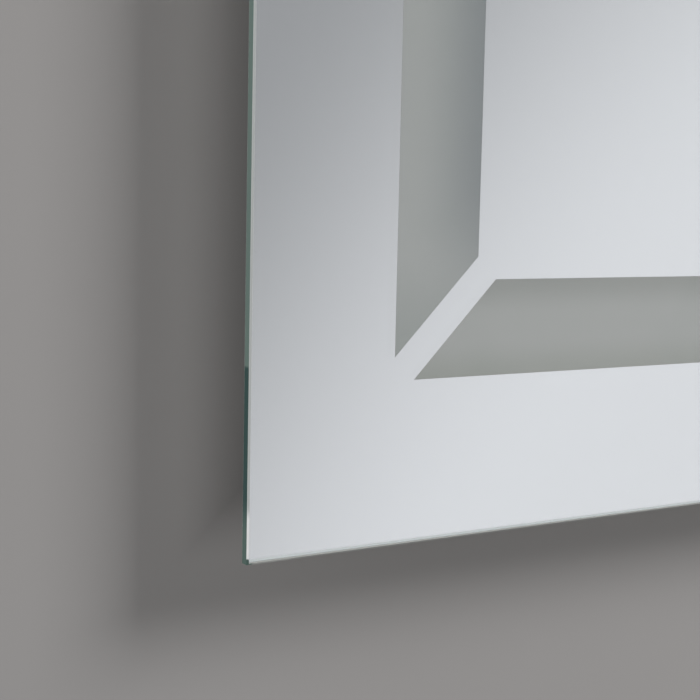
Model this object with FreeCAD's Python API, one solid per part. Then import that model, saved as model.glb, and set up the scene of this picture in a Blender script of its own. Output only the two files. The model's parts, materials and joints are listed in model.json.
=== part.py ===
import FreeCAD, Part
import math
import os

# Wall-hung lighted mirror, in millimetres.
# +X is the viewer's right, +Y goes into the wall and +Z is up. The wall's surface is y = 0 and the
# glass faces -Y. The origin is on the wall, at the middle of the rail's row of fixing holes.

# --- Driving dimensions: overall
MIRROR_WIDTH = 600.0
MIRROR_HEIGHT = 800.0
TOTAL_DEPTH = 48.0
RAIL_BELOW_TOP = 180.0

# --- Glass and its coatings
GLASS_THICKNESS = 5.0
FRONT_ARRIS = 0.75
BACK_ARRIS = 0.2
SILVER_THICKNESS = 0.1
FILM_THICKNESS = 0.2
COATING_SETBACK = 0.2

# --- Frosted light windows
BAND_MARGIN = 75.0
BAND_WIDTH = 45.0
MITRE_GAP = 15.0
DIFFUSER_THICKNESS = 1.0
DIFFUSER_CLEARANCE = 0.05

# --- Frame profiles
FRAME_INSET = 50.0
FRAME_WALL = 1.5
KEY_CHAMBER = 8.0
FRAME_OFF_WALL = 2.0
TAPE_THICKNESS = 1.0
TAPE_SETBACK = 1.0
KEY_CLEARANCE = 0.1
KEY_ARM = 40.0
CORNER_SCREW_FROM_KEY = 25.0

# --- Back panel
PANEL_THICKNESS = 1.0
PANEL_RECESS = 11.0
PANEL_EDGE_GAP = 0.5
PANEL_SCREW_FROM_CORNER = 60.0
VENT_WIDTH = 3.0
VENT_LENGTH = 20.0
VENT_PITCH = 16.0
VENT_COUNT = 8

# --- Light trays, LED bars and LEDs
TRAY_SHEET = 1.0
TRAY_MARGIN = 1.5
TRAY_OFF_FILM = 1.5
TRAY_FLANGE_GAP = 0.5
TRAY_RIVET_IN = 7.0
BAR_WIDTH = 12.0
BAR_THICKNESS = 1.0
BAR_END_GAP = 6.0
PAD_WIDTH = 2.0
PAD_LENGTH = 2.5
PAD_FROM_EDGE = 0.5
LEAD_ON_BAR = 2.5
LED_PITCH = 16.0
LED_WIDTH = 3.5
LED_DEPTH = 2.8
LED_HEIGHT = 0.8

# --- Wall rail and hanging bracket
RAIL_LENGTH = 400.0
RAIL_SHEET = 2.0
RAIL_ABOVE_HOLES = 12.0
RAIL_BELOW_HOLES = 18.0
RAIL_HOOK_GAP = 5.0
RAIL_LIP = 13.0
RAIL_HOLE_RADIUS = 2.75
RAIL_HOLE_SPACING = 160.0
BRACKET_LENGTH = 300.0
BRACKET_PLATE = 28.0
BRACKET_TONGUE_OVERLAP = 11.5
HOOK_CLEARANCE = 0.4
BRACKET_RIVET_SPACING = 52.0

# --- Fasteners
HOLE_CLEARANCE = 0.05
SCREW_RADIUS = 1.5
SCREW_HEAD_RADIUS = 3.0
SCREW_HEAD_HEIGHT = 1.8
PANEL_SCREW_LENGTH = 7.0
SCREW_TAIL = 2.0
SCREW_END_ROOM = 0.5
RIVET_RADIUS = 1.6
RIVET_HEAD_RADIUS = 3.2
RIVET_HEAD_HEIGHT = 1.0
RIVET_BULB_RADIUS = 2.4
RIVET_BULB_HEIGHT = 1.8

# --- Leads
LEAD_HEIGHT = 3.6
MAINS_LEAD_RADIUS = 1.1
LED_LEAD_RADIUS = 0.9
LEAD_SPACING = 2.6
LEAD_BEND = 14.0
LEAD_HOLE_CLEARANCE = 0.1
CLIP_LENGTH = 8.0
CLIP_WALL = 1.6
MAINS_COLUMN_GAP = 22.0
SWITCH_COLUMN_GAP = 30.0
EARTH_COLUMN_GAP = 22.0
ALLEY_RAMP_IN = 8.0
TOP_CLIP_LIFT = 20.0

# --- LED driver
DRIVER_BELOW_RAIL = 78.0
DRIVER_LENGTH = 160.0
DRIVER_WIDTH = 44.0
DRIVER_HEIGHT = 22.0
DRIVER_WALL = 1.6
DRIVER_EAR = 10.0
DRIVER_CORNER = 3.0
DRIVER_POST_RADIUS = 2.0
DRIVER_POST_FROM_END = 8.0
DRIVER_POST_FROM_SIDE = 5.0
DRIVER_LIP_GAP = 0.2
DRIVER_LIP_WALL = 1.2
DRIVER_LIP_DEPTH = 2.0
POST_ROOT = 0.5
BOARD_THICKNESS = 1.6
BOARD_EDGE_GAP = 4.4
BOARD_SIDE_GAP = 1.0
RIGHT_FEED_ABOVE_EAR = 10.0

# Transformer, coil and connector on the board, from the driver's middle: x pair, z pair, height
BOARD_BLOCKS = [
    ((-14.0, 10.0), (-12.0, 12.0), 13.0),
    ((26.0, 44.0), (-16.0, -4.0), 9.0),
    ((-62.0, -56.0), (-10.0, 10.0), 8.0),
]

# Capacitors on the board, from the driver's middle: x, z, radius, height
BOARD_CANS = [
    (22.0, 9.0, 6.0, 12.0), (58.0, -2.0, 5.0, 10.0), (-30.0, 8.0, 5.0, 12.0),
    (-44.0, 8.0, 5.0, 12.0), (-38.0, -9.0, 4.0, 9.0),
]

# --- Low voltage splitter
SPLITTER_GAP = 22.0
SPLITTER_WIDTH = 26.0
SPLITTER_TALL = 30.0
SPLITTER_HEIGHT = 9.0
SPLITTER_PORT_DEPTH = 5.0
SPLITTER_CHAMFER = 0.8

# --- Junction box and its contents
BOX_BELOW_RAIL = 208.0
BOX_WIDTH = 100.0
BOX_TALL = 64.0
BOX_HEIGHT = 26.0
BOX_WALL = 2.0
BOX_FLOOR = 1.5
BOX_CORNER = 4.0
BOX_RIVET_IN = 7.0
LID_THICKNESS = 2.0
LID_SCREW_BITE = 8.0
CLAMP_SCREW_BITE = 6.0
ENTRY_LEFT = 28.0
ENTRY_RADIUS = 4.0
GROMMET_NECK = 6.0
GROMMET_FLANGE = 8.5
GROMMET_LIP = 1.5
POLE_PITCH = 8.0
TERMINAL_X = 23.0
TERMINAL_WIDTH = 18.0
TERMINAL_HEIGHT = 10.5
TOWER_HEIGHT = 4.0
TOWER_WIDTH = 6.4
WELL_CLEARANCE = 0.3
WELL_RECESS = 1.5
CLAMP_OUTER = 2.0
CLAMP_BORE = 1.3
CLAMP_PORT_RADIUS = 0.8
LINK_WIDTH = 2.0
LINK_INSET = 0.3
SLOT_WIDTH = 0.6
SLOT_DEPTH = 0.8
LEAD_IN_POLE = 3.0
CORD_CLAMP_X = -6.0
CORD_CLAMP_LENGTH = 34.0
CORD_CLAMP_WIDTH = 8.0
CORD_CLAMP_LIFT = 8.0
CORD_CLAMP_THICKNESS = 3.0
CORD_RIB_X = 2.0
CORD_RIB_WIDTH = 1.0
CORD_RIB_HEIGHT = 1.2
CORD_RIB_LENGTH = 14.0
BOSS_RADIUS = 3.4

# --- Earth stud
EARTH_X = 12.0
EARTH_BELOW_BOX = 38.0
STUD_RADIUS = 2.0
NUT_ACROSS_FLATS = 7.0
STUD_HEAD_RADIUS = 3.6
STUD_HEAD_HEIGHT = 1.2
STUD_PAST_NUT = 2.5
STUD_CHAMFER = 0.4
NUT_HEIGHT = 2.8
TAG_THICKNESS = 0.8
TAG_RING_RADIUS = 4.2
TAG_LENGTH = 14.0
TAG_NECK_WIDTH = 4.0
TAG_BARREL_LENGTH = 6.0
TAG_BARREL_WALL = 0.7
TAG_OVERLAP = 1.0
LEAD_IN_TAG = 4.0
TAG_END_ROOM = 0.2

# --- Rocker switch
SWITCH_CUTOUT_LENGTH = 19.2
SWITCH_CUTOUT_WIDTH = 12.9
SWITCH_BODY_CLEARANCE = 0.1
SWITCH_DEPTH = 16.0
SWITCH_BEZEL_RIM = 0.9
SWITCH_BEZEL_THICKNESS = 2.0
SWITCH_BEZEL_CHAMFER = 0.6
SWITCH_CAVITY_DEPTH = 10.0
ROCKER_RADIUS = 8.4
ROCKER_WIDTH = 9.6
ROCKER_SIDE_GAP = 0.3
ROCKER_TILT = 10.0
ROCKER_VALLEY = 2.0
ROCKER_INNER = 3.0
PIVOT_PIN_RADIUS = 1.0
PIVOT_PIN_CLEARANCE = 0.05
PIVOT_PIN_LENGTH = 0.9
PIVOT_PIN_END_ROOM = 0.1
STEM_WIDTH = 3.0
STEM_FROM_FACE = 2.0
STEM_LENGTH = 3.0
TAB_WIDTH = 4.8
TAB_THICKNESS = 0.8
TAB_LENGTH = 5.5
TAB_SPACING = 8.0

# --- Rear bumpers
BUMPER_X = 100.0
BUMPER_ABOVE_TRAY = 28.0
BUMPER_RADIUS = 9.0
BUMPER_STEM_RADIUS = 3.0
BUMPER_BARB_RADIUS = 4.0
BUMPER_BARB_LENGTH = 4.0
BUMPER_BARB_EDGE = 1.0
BUMPER_BEVEL_RISE = 2.5
BUMPER_BEVEL_RUN = 1.5

# --- Depth of each layer, from the wall (negative is towards the room)
GLASS_FRONT = -TOTAL_DEPTH
GLASS_BACK = GLASS_FRONT + GLASS_THICKNESS
SILVER_BACK = GLASS_BACK + SILVER_THICKNESS
FILM_BACK = SILVER_BACK + FILM_THICKNESS
FRAME_FRONT = FILM_BACK + TAPE_THICKNESS
FLANGE_BACK = FRAME_FRONT + FRAME_WALL
PANEL_BACK = -PANEL_RECESS
PANEL_FRONT = PANEL_BACK - PANEL_THICKNESS
CHAMBER_BACK = PANEL_FRONT - FRAME_WALL
CHAMBER_FRONT = CHAMBER_BACK - KEY_CHAMBER
CHAMBER_SKIN = CHAMBER_FRONT - FRAME_WALL
FRAME_BACK = -FRAME_OFF_WALL
TRAY_RIM = FILM_BACK + TRAY_OFF_FILM
TRAY_FLOOR = PANEL_FRONT - TRAY_SHEET
BAR_FRONT = TRAY_FLOOR - BAR_THICKNESS
LEAD_LEVEL = PANEL_FRONT - LEAD_HEIGHT

# --- Distances inwards from the glass edge
CHAMBER_NEAR = FRAME_INSET + FRAME_WALL
CHAMBER_FAR = CHAMBER_NEAR + KEY_CHAMBER
CHAMBER_END = CHAMBER_FAR + FRAME_WALL
CHAMBER_MIDDLE = (CHAMBER_NEAR + CHAMBER_FAR) / 2
TRAY_GROW = TRAY_MARGIN + TRAY_SHEET
TRAY_NEAR = BAND_MARGIN - TRAY_GROW
TRAY_FAR = BAND_MARGIN + BAND_WIDTH + TRAY_GROW
FLANGE_END = TRAY_NEAR - TRAY_FLANGE_GAP
BAND_MIDDLE = BAND_MARGIN + BAND_WIDTH / 2

# --- Heights and side positions
TOP = RAIL_BELOW_TOP
BOTTOM = TOP - MIRROR_HEIGHT
CENTRE_Z = (TOP + BOTTOM) / 2
HALF_WIDTH = MIRROR_WIDTH / 2
DRIVER_Z = -DRIVER_BELOW_RAIL
BOX_Z = -BOX_BELOW_RAIL
RAIL_LIP_TOP = RAIL_ABOVE_HOLES + RAIL_SHEET + RAIL_LIP
EARTH_Z = BOX_Z - BOX_TALL / 2 - EARTH_BELOW_BOX
SWITCH_Y = (FLANGE_BACK + CHAMBER_SKIN) / 2
SWITCH_Z = BOTTOM + FRAME_INSET
TAB_Z = SWITCH_Z + SWITCH_DEPTH + TAB_LENGTH / 2
ALLEY_SHIFT = LEAD_SPACING / 2 / math.sqrt(2)
RIGHT_TAB_X = HALF_WIDTH - (TAB_Z - BOTTOM) + 2 * ALLEY_SHIFT
SWITCH_X = RIGHT_TAB_X - TAB_SPACING / 2

# Each side's length, the size across it, and its turn from the bottom side about Y
SIDES = {
    "bottom": (MIRROR_WIDTH, MIRROR_HEIGHT, 0.0),
    "left": (MIRROR_HEIGHT, MIRROR_WIDTH, 90.0),
    "top": (MIRROR_WIDTH, MIRROR_HEIGHT, 180.0),
    "right": (MIRROR_HEIGHT, MIRROR_WIDTH, -90.0),
}

ALONG_X = FreeCAD.Vector(1, 0, 0)
ALONG_Y = FreeCAD.Vector(0, 1, 0)
ALONG_Z = FreeCAD.Vector(0, 0, 1)


# --- Basic shapes
def vector(x, y, z):
    return FreeCAD.Vector(x, y, z)


def block(x_pair, y_pair, z_pair):
    """A box between two values on each axis, in either order."""
    low = vector(min(x_pair), min(y_pair), min(z_pair))
    high = vector(max(x_pair), max(y_pair), max(z_pair))
    size = high - low
    return Part.makeBox(size.x, size.y, size.z, low)


def plate(outline, y_from, y_to):
    """An outline of (x, z) points, made solid between two depths."""
    ring = [vector(x, y_from, z) for x, z in outline]
    face = Part.Face(Part.makePolygon(ring + ring[:1]))
    return face.extrude(vector(0, y_to - y_from, 0))


def strip(section, length, x_middle=0.0):
    """A section of (y, z) points, made solid along X about x_middle."""
    ring = [vector(x_middle - length / 2, y, z) for y, z in section]
    face = Part.Face(Part.makePolygon(ring + ring[:1]))
    return face.extrude(vector(length, 0, 0))


def rod(radius, start, end):
    return Part.makeCylinder(radius, (end - start).Length, start, end - start)


def turned(profile):
    """A profile of (radius, y) points, turned about the Y axis."""
    ring = [vector(radius, y, 0) for radius, y in profile]
    face = Part.Face(Part.makePolygon(ring + ring[:1]))
    return face.revolve(vector(0, 0, 0), ALONG_Y, 360)


def facing(shape, direction):
    """The shape turned so that its +Y points along direction."""
    turn = FreeCAD.Rotation(ALONG_Y, direction)
    return shape.transformed(FreeCAD.Placement(vector(0, 0, 0), turn).toMatrix())


def moved(shape, x, y, z):
    return shape.translated(vector(x, y, z))


def united(shapes):
    return shapes[0].multiFuse(shapes[1:]).removeSplitter()


def group(shapes):
    """Separate solids that share one node."""
    return Part.makeCompound([solid for shape in shapes for solid in shape.Solids])


def along_x_edges(shape, points, reach=0.01):
    """The edges parallel to X that pass through any of the (y, z) points."""
    found = []
    for edge in shape.Edges:
        start, end = (vertex.Point for vertex in edge.Vertexes[:2])
        if abs(start.y - end.y) + abs(start.z - end.z) > reach:
            continue
        if any(math.hypot(start.y - y, start.z - z) < reach for y, z in points):
            found.append(edge)
    return found


def rounded_corners(shape, radius):
    """A block whose four edges along Y are rounded."""
    corners = [edge for edge in shape.Edges if abs(edge.tangentAt(edge.FirstParameter).y) > 0.99]
    return shape.makeFillet(radius, corners)


# --- Places that repeat on the four sides and corners
def on_side(side, shape):
    """A shape drawn for the bottom side, turned about the mirror's centre to its own side.
    Before the turn, x runs along the side from its middle and z from the mirror's centre."""
    place = FreeCAD.Placement(vector(0, 0, CENTRE_Z), FreeCAD.Rotation(ALONG_Y, SIDES[side][2]))
    return shape.transformed(place.toMatrix())


def inwards(side, distance):
    """The height, before the turn, of a line this far inwards from the side's glass edge."""
    return distance - SIDES[side][1] / 2


def side_block(side, x_pair, in_pair, y_pair):
    z_pair = [inwards(side, distance) for distance in in_pair]
    return on_side(side, block(x_pair, y_pair, z_pair))


def side_point(side, x, y, distance):
    """The place of one point given along a side and inwards from its edge."""
    turn = FreeCAD.Rotation(ALONG_Y, SIDES[side][2])
    return turn.multVec(vector(x, y, inwards(side, distance))) + vector(0, 0, CENTRE_Z)


def mitre_wedge(side):
    """All that lies nearer to this side than to its neighbours, for mitred ends."""
    half = SIDES[side][0] / 2
    depth = min(MIRROR_WIDTH, MIRROR_HEIGHT) / 2 - 1
    near, far = inwards(side, 0), inwards(side, depth)
    outline = [(-half, near), (half, near), (half - depth, far), (depth - half, far)]
    return on_side(side, plate(outline, GLASS_FRONT, 0))


def window_half(side, distance, grow=0.0):
    """Half the window's length at a distance inwards, when it is grown by grow all round."""
    return SIDES[side][0] / 2 - distance - (MITRE_GAP / 2 - grow) * math.sqrt(2)


def window(side, y_pair, grow=0.0):
    """The mitred light window's outline, grown all round, as a solid between two depths."""
    near, far = BAND_MARGIN - grow, BAND_MARGIN + BAND_WIDTH + grow
    half_near, half_far = window_half(side, near, grow), window_half(side, far, grow)
    z_near, z_far = inwards(side, near), inwards(side, far)
    outline = [(-half_near, z_near), (half_near, z_near), (half_far, z_far), (-half_far, z_far)]
    return on_side(side, plate(outline, *y_pair))


def edges_at_depth(shape, y, reach=0.01):
    """The edges whose middle lies at this depth."""
    return [edge for edge in shape.Edges if abs(edge.CenterOfMass.y - y) < reach]


def inset_rectangle(inset, y_pair):
    """The mirror's rectangle, made smaller all round, between two depths."""
    half = HALF_WIDTH - inset
    return block((-half, half), y_pair, (BOTTOM + inset, TOP - inset))


def evenly(half, count):
    """This many positions, evenly spaced from -half to half."""
    return [-half + 2 * half * i / (count - 1) for i in range(count)]


# --- Fasteners, drawn with the head outwards along +Y from the seat at y = 0
def screw(length, radius=SCREW_RADIUS):
    head, rise = SCREW_HEAD_RADIUS, SCREW_HEAD_HEIGHT
    profile = [
        (0, -length), (radius * 0.3, -length), (radius, radius * 1.4 - length), (radius, 0),
        (head, 0), (head, rise * 0.5), (head * 0.6, rise * 0.92), (0, rise),
    ]
    wide, narrow = head * 0.5, head * 0.13
    deep = (rise * 0.45, rise + 1)
    recess = block((-wide, wide), deep, (-narrow, narrow))
    recess = recess.fuse(block((-narrow, narrow), deep, (-wide, wide)))
    return turned(profile).cut(recess)


def rivet(grip):
    """A blind rivet: head at the seat, bulb behind the grip, mandrel hole in the head."""
    head, rise, bulb = RIVET_HEAD_RADIUS, RIVET_HEAD_HEIGHT, RIVET_BULB_RADIUS
    tail = -grip - RIVET_BULB_HEIGHT
    profile = [
        (0, tail), (bulb * 0.7, tail), (bulb, tail + 0.5), (bulb, -grip), (RIVET_RADIUS, -grip),
        (RIVET_RADIUS, 0), (head, 0), (head * 0.7, rise * 0.8), (head * 0.4, rise), (0, rise),
    ]
    dimple = rod(RIVET_RADIUS * 0.45, vector(0, rise * 0.4, 0), vector(0, rise + 1, 0))
    return turned(profile).cut(dimple)


def hole(x, z, radius, y_pair):
    return rod(radius, vector(x, min(y_pair) - 1, z), vector(x, max(y_pair) + 1, z))


# --- Leads: straight runs joined by tangent arcs
def unit(v):
    return v * (1.0 / v.Length)


def arc_at(before, corner, after):
    """The arc that rounds a corner, or None where the route runs straight on."""
    back, ahead = before - corner, after - corner
    turn = math.pi - back.getAngle(ahead)
    if turn < 0.001:
        return None
    reach = min(0.45 * min(back.Length, ahead.Length), LEAD_BEND * math.tan(turn / 2))
    radius = reach / math.tan(turn / 2)
    start, end = corner + unit(back) * reach, corner + unit(ahead) * reach
    inside = unit(unit(back) + unit(ahead))
    middle = corner + inside * (radius / math.cos(turn / 2) - radius)
    return Part.Arc(start, middle, end), start, end, radius


def lead(name, radius, points):
    """One insulated wire along a route, with its least bend radius printed."""
    edges, last, least = [], points[0], math.inf
    for before, corner, after in zip(points, points[1:], points[2:]):
        rounded = arc_at(before, corner, after)
        if rounded is None:
            continue
        arc, start, end, bend = rounded
        edges += [Part.LineSegment(last, start).toShape(), arc.toShape()]
        last, least = end, min(least, bend)
    edges.append(Part.LineSegment(last, points[-1]).toShape())
    path = Part.Wire(edges)
    ring = Part.Wire(Part.makeCircle(radius, points[0], points[1] - points[0]))
    tube = path.makePipeShell([ring], True, False)
    share = tube.Volume / (math.pi * radius**2 * path.Length)
    print(f"{name}: length {path.Length:.0f}, least bend {least:.1f}, volume share {share:.4f}")
    return tube


def alley_point(distance, offset, y):
    """A point in the diagonal alley at the lower right corner, between two light trays."""
    shift = offset / math.sqrt(2)
    return vector(HALF_WIDTH - distance + shift, y, BOTTOM + distance + shift)


def clip(x, z, lead_radius, along, count=2):
    """A saddle clip on the panel, with a channel for each lead of a bundle."""
    half_bundle = LEAD_SPACING * (count - 1) / 2
    half = half_bundle + lead_radius + CLIP_WALL
    front = LEAD_LEVEL - lead_radius - CLIP_WALL
    body = block((-half, half), (PANEL_FRONT, front), (-CLIP_LENGTH / 2, CLIP_LENGTH / 2))
    shoulders = [edge for edge in edges_at_depth(body, front) if abs(abs(edge.CenterOfMass.x) - half) < 0.01]
    body = body.makeFillet(CLIP_WALL * 0.6, shoulders)
    for i in range(count):
        offset = i * LEAD_SPACING - half_bundle
        reach = CLIP_LENGTH
        body = body.cut(rod(lead_radius + HOLE_CLEARANCE, vector(offset, LEAD_LEVEL, -reach),
                            vector(offset, LEAD_LEVEL, reach)))
    if along == "x":
        body = body.rotated(vector(0, 0, 0), ALONG_Y, 90)
    return moved(body, x, 0, z)


# --- Wall rail and hanging bracket
def wall_rail():
    """A folded strip: flange on the wall, shelf, and a lip that stands off the wall."""
    t, up, low = RAIL_SHEET, RAIL_ABOVE_HOLES, -RAIL_BELOW_HOLES
    lip_back = -RAIL_HOOK_GAP
    lip_front = lip_back - t
    section = [
        (0, low), (0, up + t), (lip_back, up + t), (lip_back, RAIL_LIP_TOP),
        (lip_front, RAIL_LIP_TOP), (lip_front, up), (-t, up), (-t, low),
    ]
    rail = strip(section, RAIL_LENGTH)
    bends = along_x_edges(rail, [(0, up + t), (lip_front, up)])
    rail = rail.makeFillet(t, bends)
    for x in rail_hole_places():
        rail = rail.cut(hole(x, 0, RAIL_HOLE_RADIUS, (-t, 0)))
    return rail


def rail_hole_places():
    return [-RAIL_HOLE_SPACING, 0.0, RAIL_HOLE_SPACING]


def bracket_rivet_places():
    """The bracket's row of rivets: x of each, and their shared height."""
    count = int((BRACKET_LENGTH / 2 - RIVET_HEAD_RADIUS) / BRACKET_RIVET_SPACING + 0.5)
    height = RAIL_LIP_TOP + RAIL_SHEET + BRACKET_PLATE * 0.6
    return [((i + 0.5) * BRACKET_RIVET_SPACING * sign, height)
            for i in range(count) for sign in (-1, 1)]


def hanging_bracket():
    """A folded strip on the panel whose tongue drops behind the rail's lip."""
    t = RAIL_SHEET
    low, high = RAIL_LIP_TOP, RAIL_LIP_TOP + t + BRACKET_PLATE
    plate_back = PANEL_BACK + t
    tongue_front = -RAIL_HOOK_GAP + HOOK_CLEARANCE
    tongue_back = tongue_front + t
    tip = RAIL_LIP_TOP - BRACKET_TONGUE_OVERLAP
    section = [
        (PANEL_BACK, low), (tongue_front, low), (tongue_front, tip), (tongue_back, tip),
        (tongue_back, low + t), (plate_back, low + t), (plate_back, high), (PANEL_BACK, high),
    ]
    bracket = strip(section, BRACKET_LENGTH)
    bends = along_x_edges(bracket, [(PANEL_BACK, low), (tongue_back, low + t)])
    bracket = bracket.makeFillet(t * 0.9, bends)
    for x, z in bracket_rivet_places():
        bracket = bracket.cut(hole(x, z, RIVET_RADIUS + HOLE_CLEARANCE, (PANEL_BACK, plate_back)))
    return bracket


def bracket_rivets():
    one = rivet(RAIL_SHEET + PANEL_THICKNESS)
    seat = PANEL_BACK + RAIL_SHEET
    return group([moved(one, x, seat, z) for x, z in bracket_rivet_places()])


# --- Glass, coatings and windows
def mirror_glass():
    """The pane, with a ground arris round its face and a finer one round its back."""
    pane = inset_rectangle(0, (GLASS_FRONT, GLASS_BACK))
    pane = pane.makeChamfer(FRONT_ARRIS, edges_at_depth(pane, GLASS_FRONT))
    return pane.makeChamfer(BACK_ARRIS, edges_at_depth(pane, GLASS_BACK))


def coating(y_front, y_back):
    """A layer on the back of the glass, with the four windows left open."""
    layer = inset_rectangle(BACK_ARRIS + COATING_SETBACK, (y_front, y_back))
    return layer.cut([window(side, (y_front - 1, y_back + 1)) for side in SIDES])


def light_diffuser(side):
    """An opal strip that fills its window against the back of the glass."""
    return window(side, (GLASS_BACK, GLASS_BACK + DIFFUSER_THICKNESS), -DIFFUSER_CLEARANCE)


# --- Frame
def corner_screw_place(side):
    """How far along a side, from its middle, the screw of each of its mitres sits."""
    return SIDES[side][0] / 2 - CHAMBER_NEAR - CORNER_SCREW_FROM_KEY


def frame_profile(side):
    """A mitred extrusion: outer wall, flange under the glass, and a chamber for corner keys."""
    half = SIDES[side][0] / 2
    near, far = CHAMBER_NEAR, CHAMBER_FAR
    walls = [
        ((FRAME_INSET, near), (FRAME_FRONT, FRAME_BACK)),
        ((FRAME_INSET, FLANGE_END), (FRAME_FRONT, FLANGE_BACK)),
        ((FRAME_INSET, CHAMBER_END), (CHAMBER_BACK, PANEL_FRONT)),
        ((FRAME_INSET, CHAMBER_END), (CHAMBER_SKIN, CHAMBER_FRONT)),
        ((far, CHAMBER_END), (CHAMBER_SKIN, PANEL_FRONT)),
    ]
    profile = united([side_block(side, (-half, half), *pairs) for pairs in walls])
    profile = profile.common(mitre_wedge(side))
    cuts = [panel_screw_hole(side, x) for x in panel_screw_places(side)]
    for x in (-corner_screw_place(side), corner_screw_place(side)):
        cuts.append(rod(SCREW_RADIUS + HOLE_CLEARANCE, side_point(side, x, chamber_level(), far - 1),
                        side_point(side, x, chamber_level(), CHAMBER_END + 1)))
    if side == "bottom":
        cuts.append(switch_cutout())
    return profile.cut(cuts)


def chamber_level():
    return (CHAMBER_BACK + CHAMBER_FRONT) / 2


def corner_key(x_sign, z_sign):
    """An angle that slides into the chambers of two profiles at one corner."""
    gap = KEY_CLEARANCE
    outer, inner = CHAMBER_NEAR + gap, CHAMBER_FAR - gap
    end = CHAMBER_NEAR + KEY_ARM
    depths = (CHAMBER_FRONT + gap, CHAMBER_BACK - gap)

    def arm(in_x, in_z):
        x_pair = [x_sign * (HALF_WIDTH - d) for d in in_x]
        z_pair = [CENTRE_Z + z_sign * (MIRROR_HEIGHT / 2 - d) for d in in_z]
        return block(x_pair, depths, z_pair)

    key = united([arm((outer, end), (outer, inner)), arm((outer, inner), (outer, end))])
    return key.cut([corner_screw_hole(side, x) for side in SIDES
                    for x in (-corner_screw_place(side), corner_screw_place(side))])


def corner_screw_hole(side, x):
    y = chamber_level()
    return rod(SCREW_RADIUS + HOLE_CLEARANCE, side_point(side, x, y, CHAMBER_NEAR + 1),
               side_point(side, x, y, CHAMBER_END + 1))


def corner_keys():
    return group([corner_key(x_sign, z_sign) for x_sign in (-1, 1) for z_sign in (-1, 1)])


def corner_screws():
    """Two screws at each corner, from inside the case into the key's arms."""
    screws = []
    one = facing(screw(FRAME_WALL + KEY_CHAMBER * 0.6), ALONG_Z)
    for side in SIDES:
        for x in (-corner_screw_place(side), corner_screw_place(side)):
            local = moved(one, x, chamber_level(), inwards(side, CHAMBER_END))
            screws.append(on_side(side, local))
    return group(screws)


def bonding_tape():
    """A strip of foam tape between the film and each profile's flange."""
    near, far = FRAME_INSET + TAPE_SETBACK, FLANGE_END - TAPE_SETBACK
    strips = []
    for side in SIDES:
        half = SIDES[side][0] / 2 - far - TAPE_SETBACK
        strips.append(side_block(side, (-half, half), (near, far), (FILM_BACK, FRAME_FRONT)))
    return group(strips)


# --- Back panel
def panel_screw_places(side):
    """The panel screws' places along a side: four on a long side, three on a short one."""
    half = SIDES[side][0] / 2 - FRAME_INSET - PANEL_SCREW_FROM_CORNER
    return evenly(half, 4 if SIDES[side][0] >= max(MIRROR_WIDTH, MIRROR_HEIGHT) else 3)


def panel_screw_hole(side, x):
    return rod(SCREW_RADIUS + HOLE_CLEARANCE, side_point(side, x, CHAMBER_BACK - 1, CHAMBER_MIDDLE),
               side_point(side, x, PANEL_BACK + 1, CHAMBER_MIDDLE))


def panel_rivet_places():
    """(x, z, sheet) of each rivet through the panel, with the thickness of what it holds."""
    places = []
    for side in SIDES:
        inner = BAND_MARGIN + TRAY_RIVET_IN
        for x in evenly(window_half(side, inner) * 0.8, 3):
            point = side_point(side, x, 0, inner)
            places.append((point.x, point.z, TRAY_SHEET))
    for x_sign in (-1, 1):
        for z_sign in (-1, 1):
            x = x_sign * (BOX_WIDTH / 2 - BOX_RIVET_IN)
            z = BOX_Z + z_sign * (BOX_TALL / 2 - BOX_RIVET_IN)
            places.append((x, z, BOX_FLOOR))
    return places


def panel_rivets():
    shapes = []
    for x, z, sheet in panel_rivet_places():
        one = facing(rivet(sheet + PANEL_THICKNESS), -ALONG_Y)
        shapes.append(moved(one, x, PANEL_FRONT - sheet, z))
    return group(shapes)


def rivet_holes(y_pair):
    return [hole(x, z, RIVET_RADIUS + HOLE_CLEARANCE, y_pair) for x, z, _ in panel_rivet_places()]


def bumper_places():
    height = BOTTOM + TRAY_FAR + BUMPER_ABOVE_TRAY
    return [(-BUMPER_X, height), (BUMPER_X, height)]


def vents():
    """Two rows of upright slots, one under the driver and one low down."""
    slots = []
    rows = [
        DRIVER_Z - DRIVER_WIDTH / 2 - VENT_LENGTH,
        BOTTOM + TRAY_FAR + BUMPER_ABOVE_TRAY + VENT_LENGTH,
    ]
    half = VENT_PITCH * (VENT_COUNT - 1) / 2
    for z in rows:
        for x in evenly(half, VENT_COUNT):
            middle = block((x - VENT_WIDTH / 2, x + VENT_WIDTH / 2), (PANEL_FRONT - 1, PANEL_BACK + 1),
                           (z - VENT_LENGTH / 2, z + VENT_LENGTH / 2))
            ends = [hole(x, z + VENT_LENGTH / 2 * sign, VENT_WIDTH / 2, (PANEL_FRONT, PANEL_BACK))
                    for sign in (-1, 1)]
            slots.append(united([middle] + ends))
    return slots


def back_panel():
    """A flat sheet on the profiles' ledges, with every hole that passes through it."""
    depths = (PANEL_FRONT, PANEL_BACK)
    sheet = inset_rectangle(CHAMBER_NEAR + PANEL_EDGE_GAP, depths)
    cuts = rivet_holes(depths) + vents()
    cuts += [panel_screw_hole(side, x) for side in SIDES for x in panel_screw_places(side)]
    cuts += [hole(x, z, RIVET_RADIUS + HOLE_CLEARANCE, depths) for x, z in bracket_rivet_places()]
    cuts += [hole(x, z, BUMPER_STEM_RADIUS + HOLE_CLEARANCE, depths) for x, z in bumper_places()]
    cuts += [hole(x, z, SCREW_RADIUS + HOLE_CLEARANCE, depths) for x, z in driver_ear_places()]
    cuts.append(hole(-ENTRY_LEFT, BOX_Z, GROMMET_NECK + HOLE_CLEARANCE, depths))
    cuts.append(hole(EARTH_X, EARTH_Z, STUD_RADIUS + HOLE_CLEARANCE, depths))
    return sheet.cut(cuts)


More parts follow.
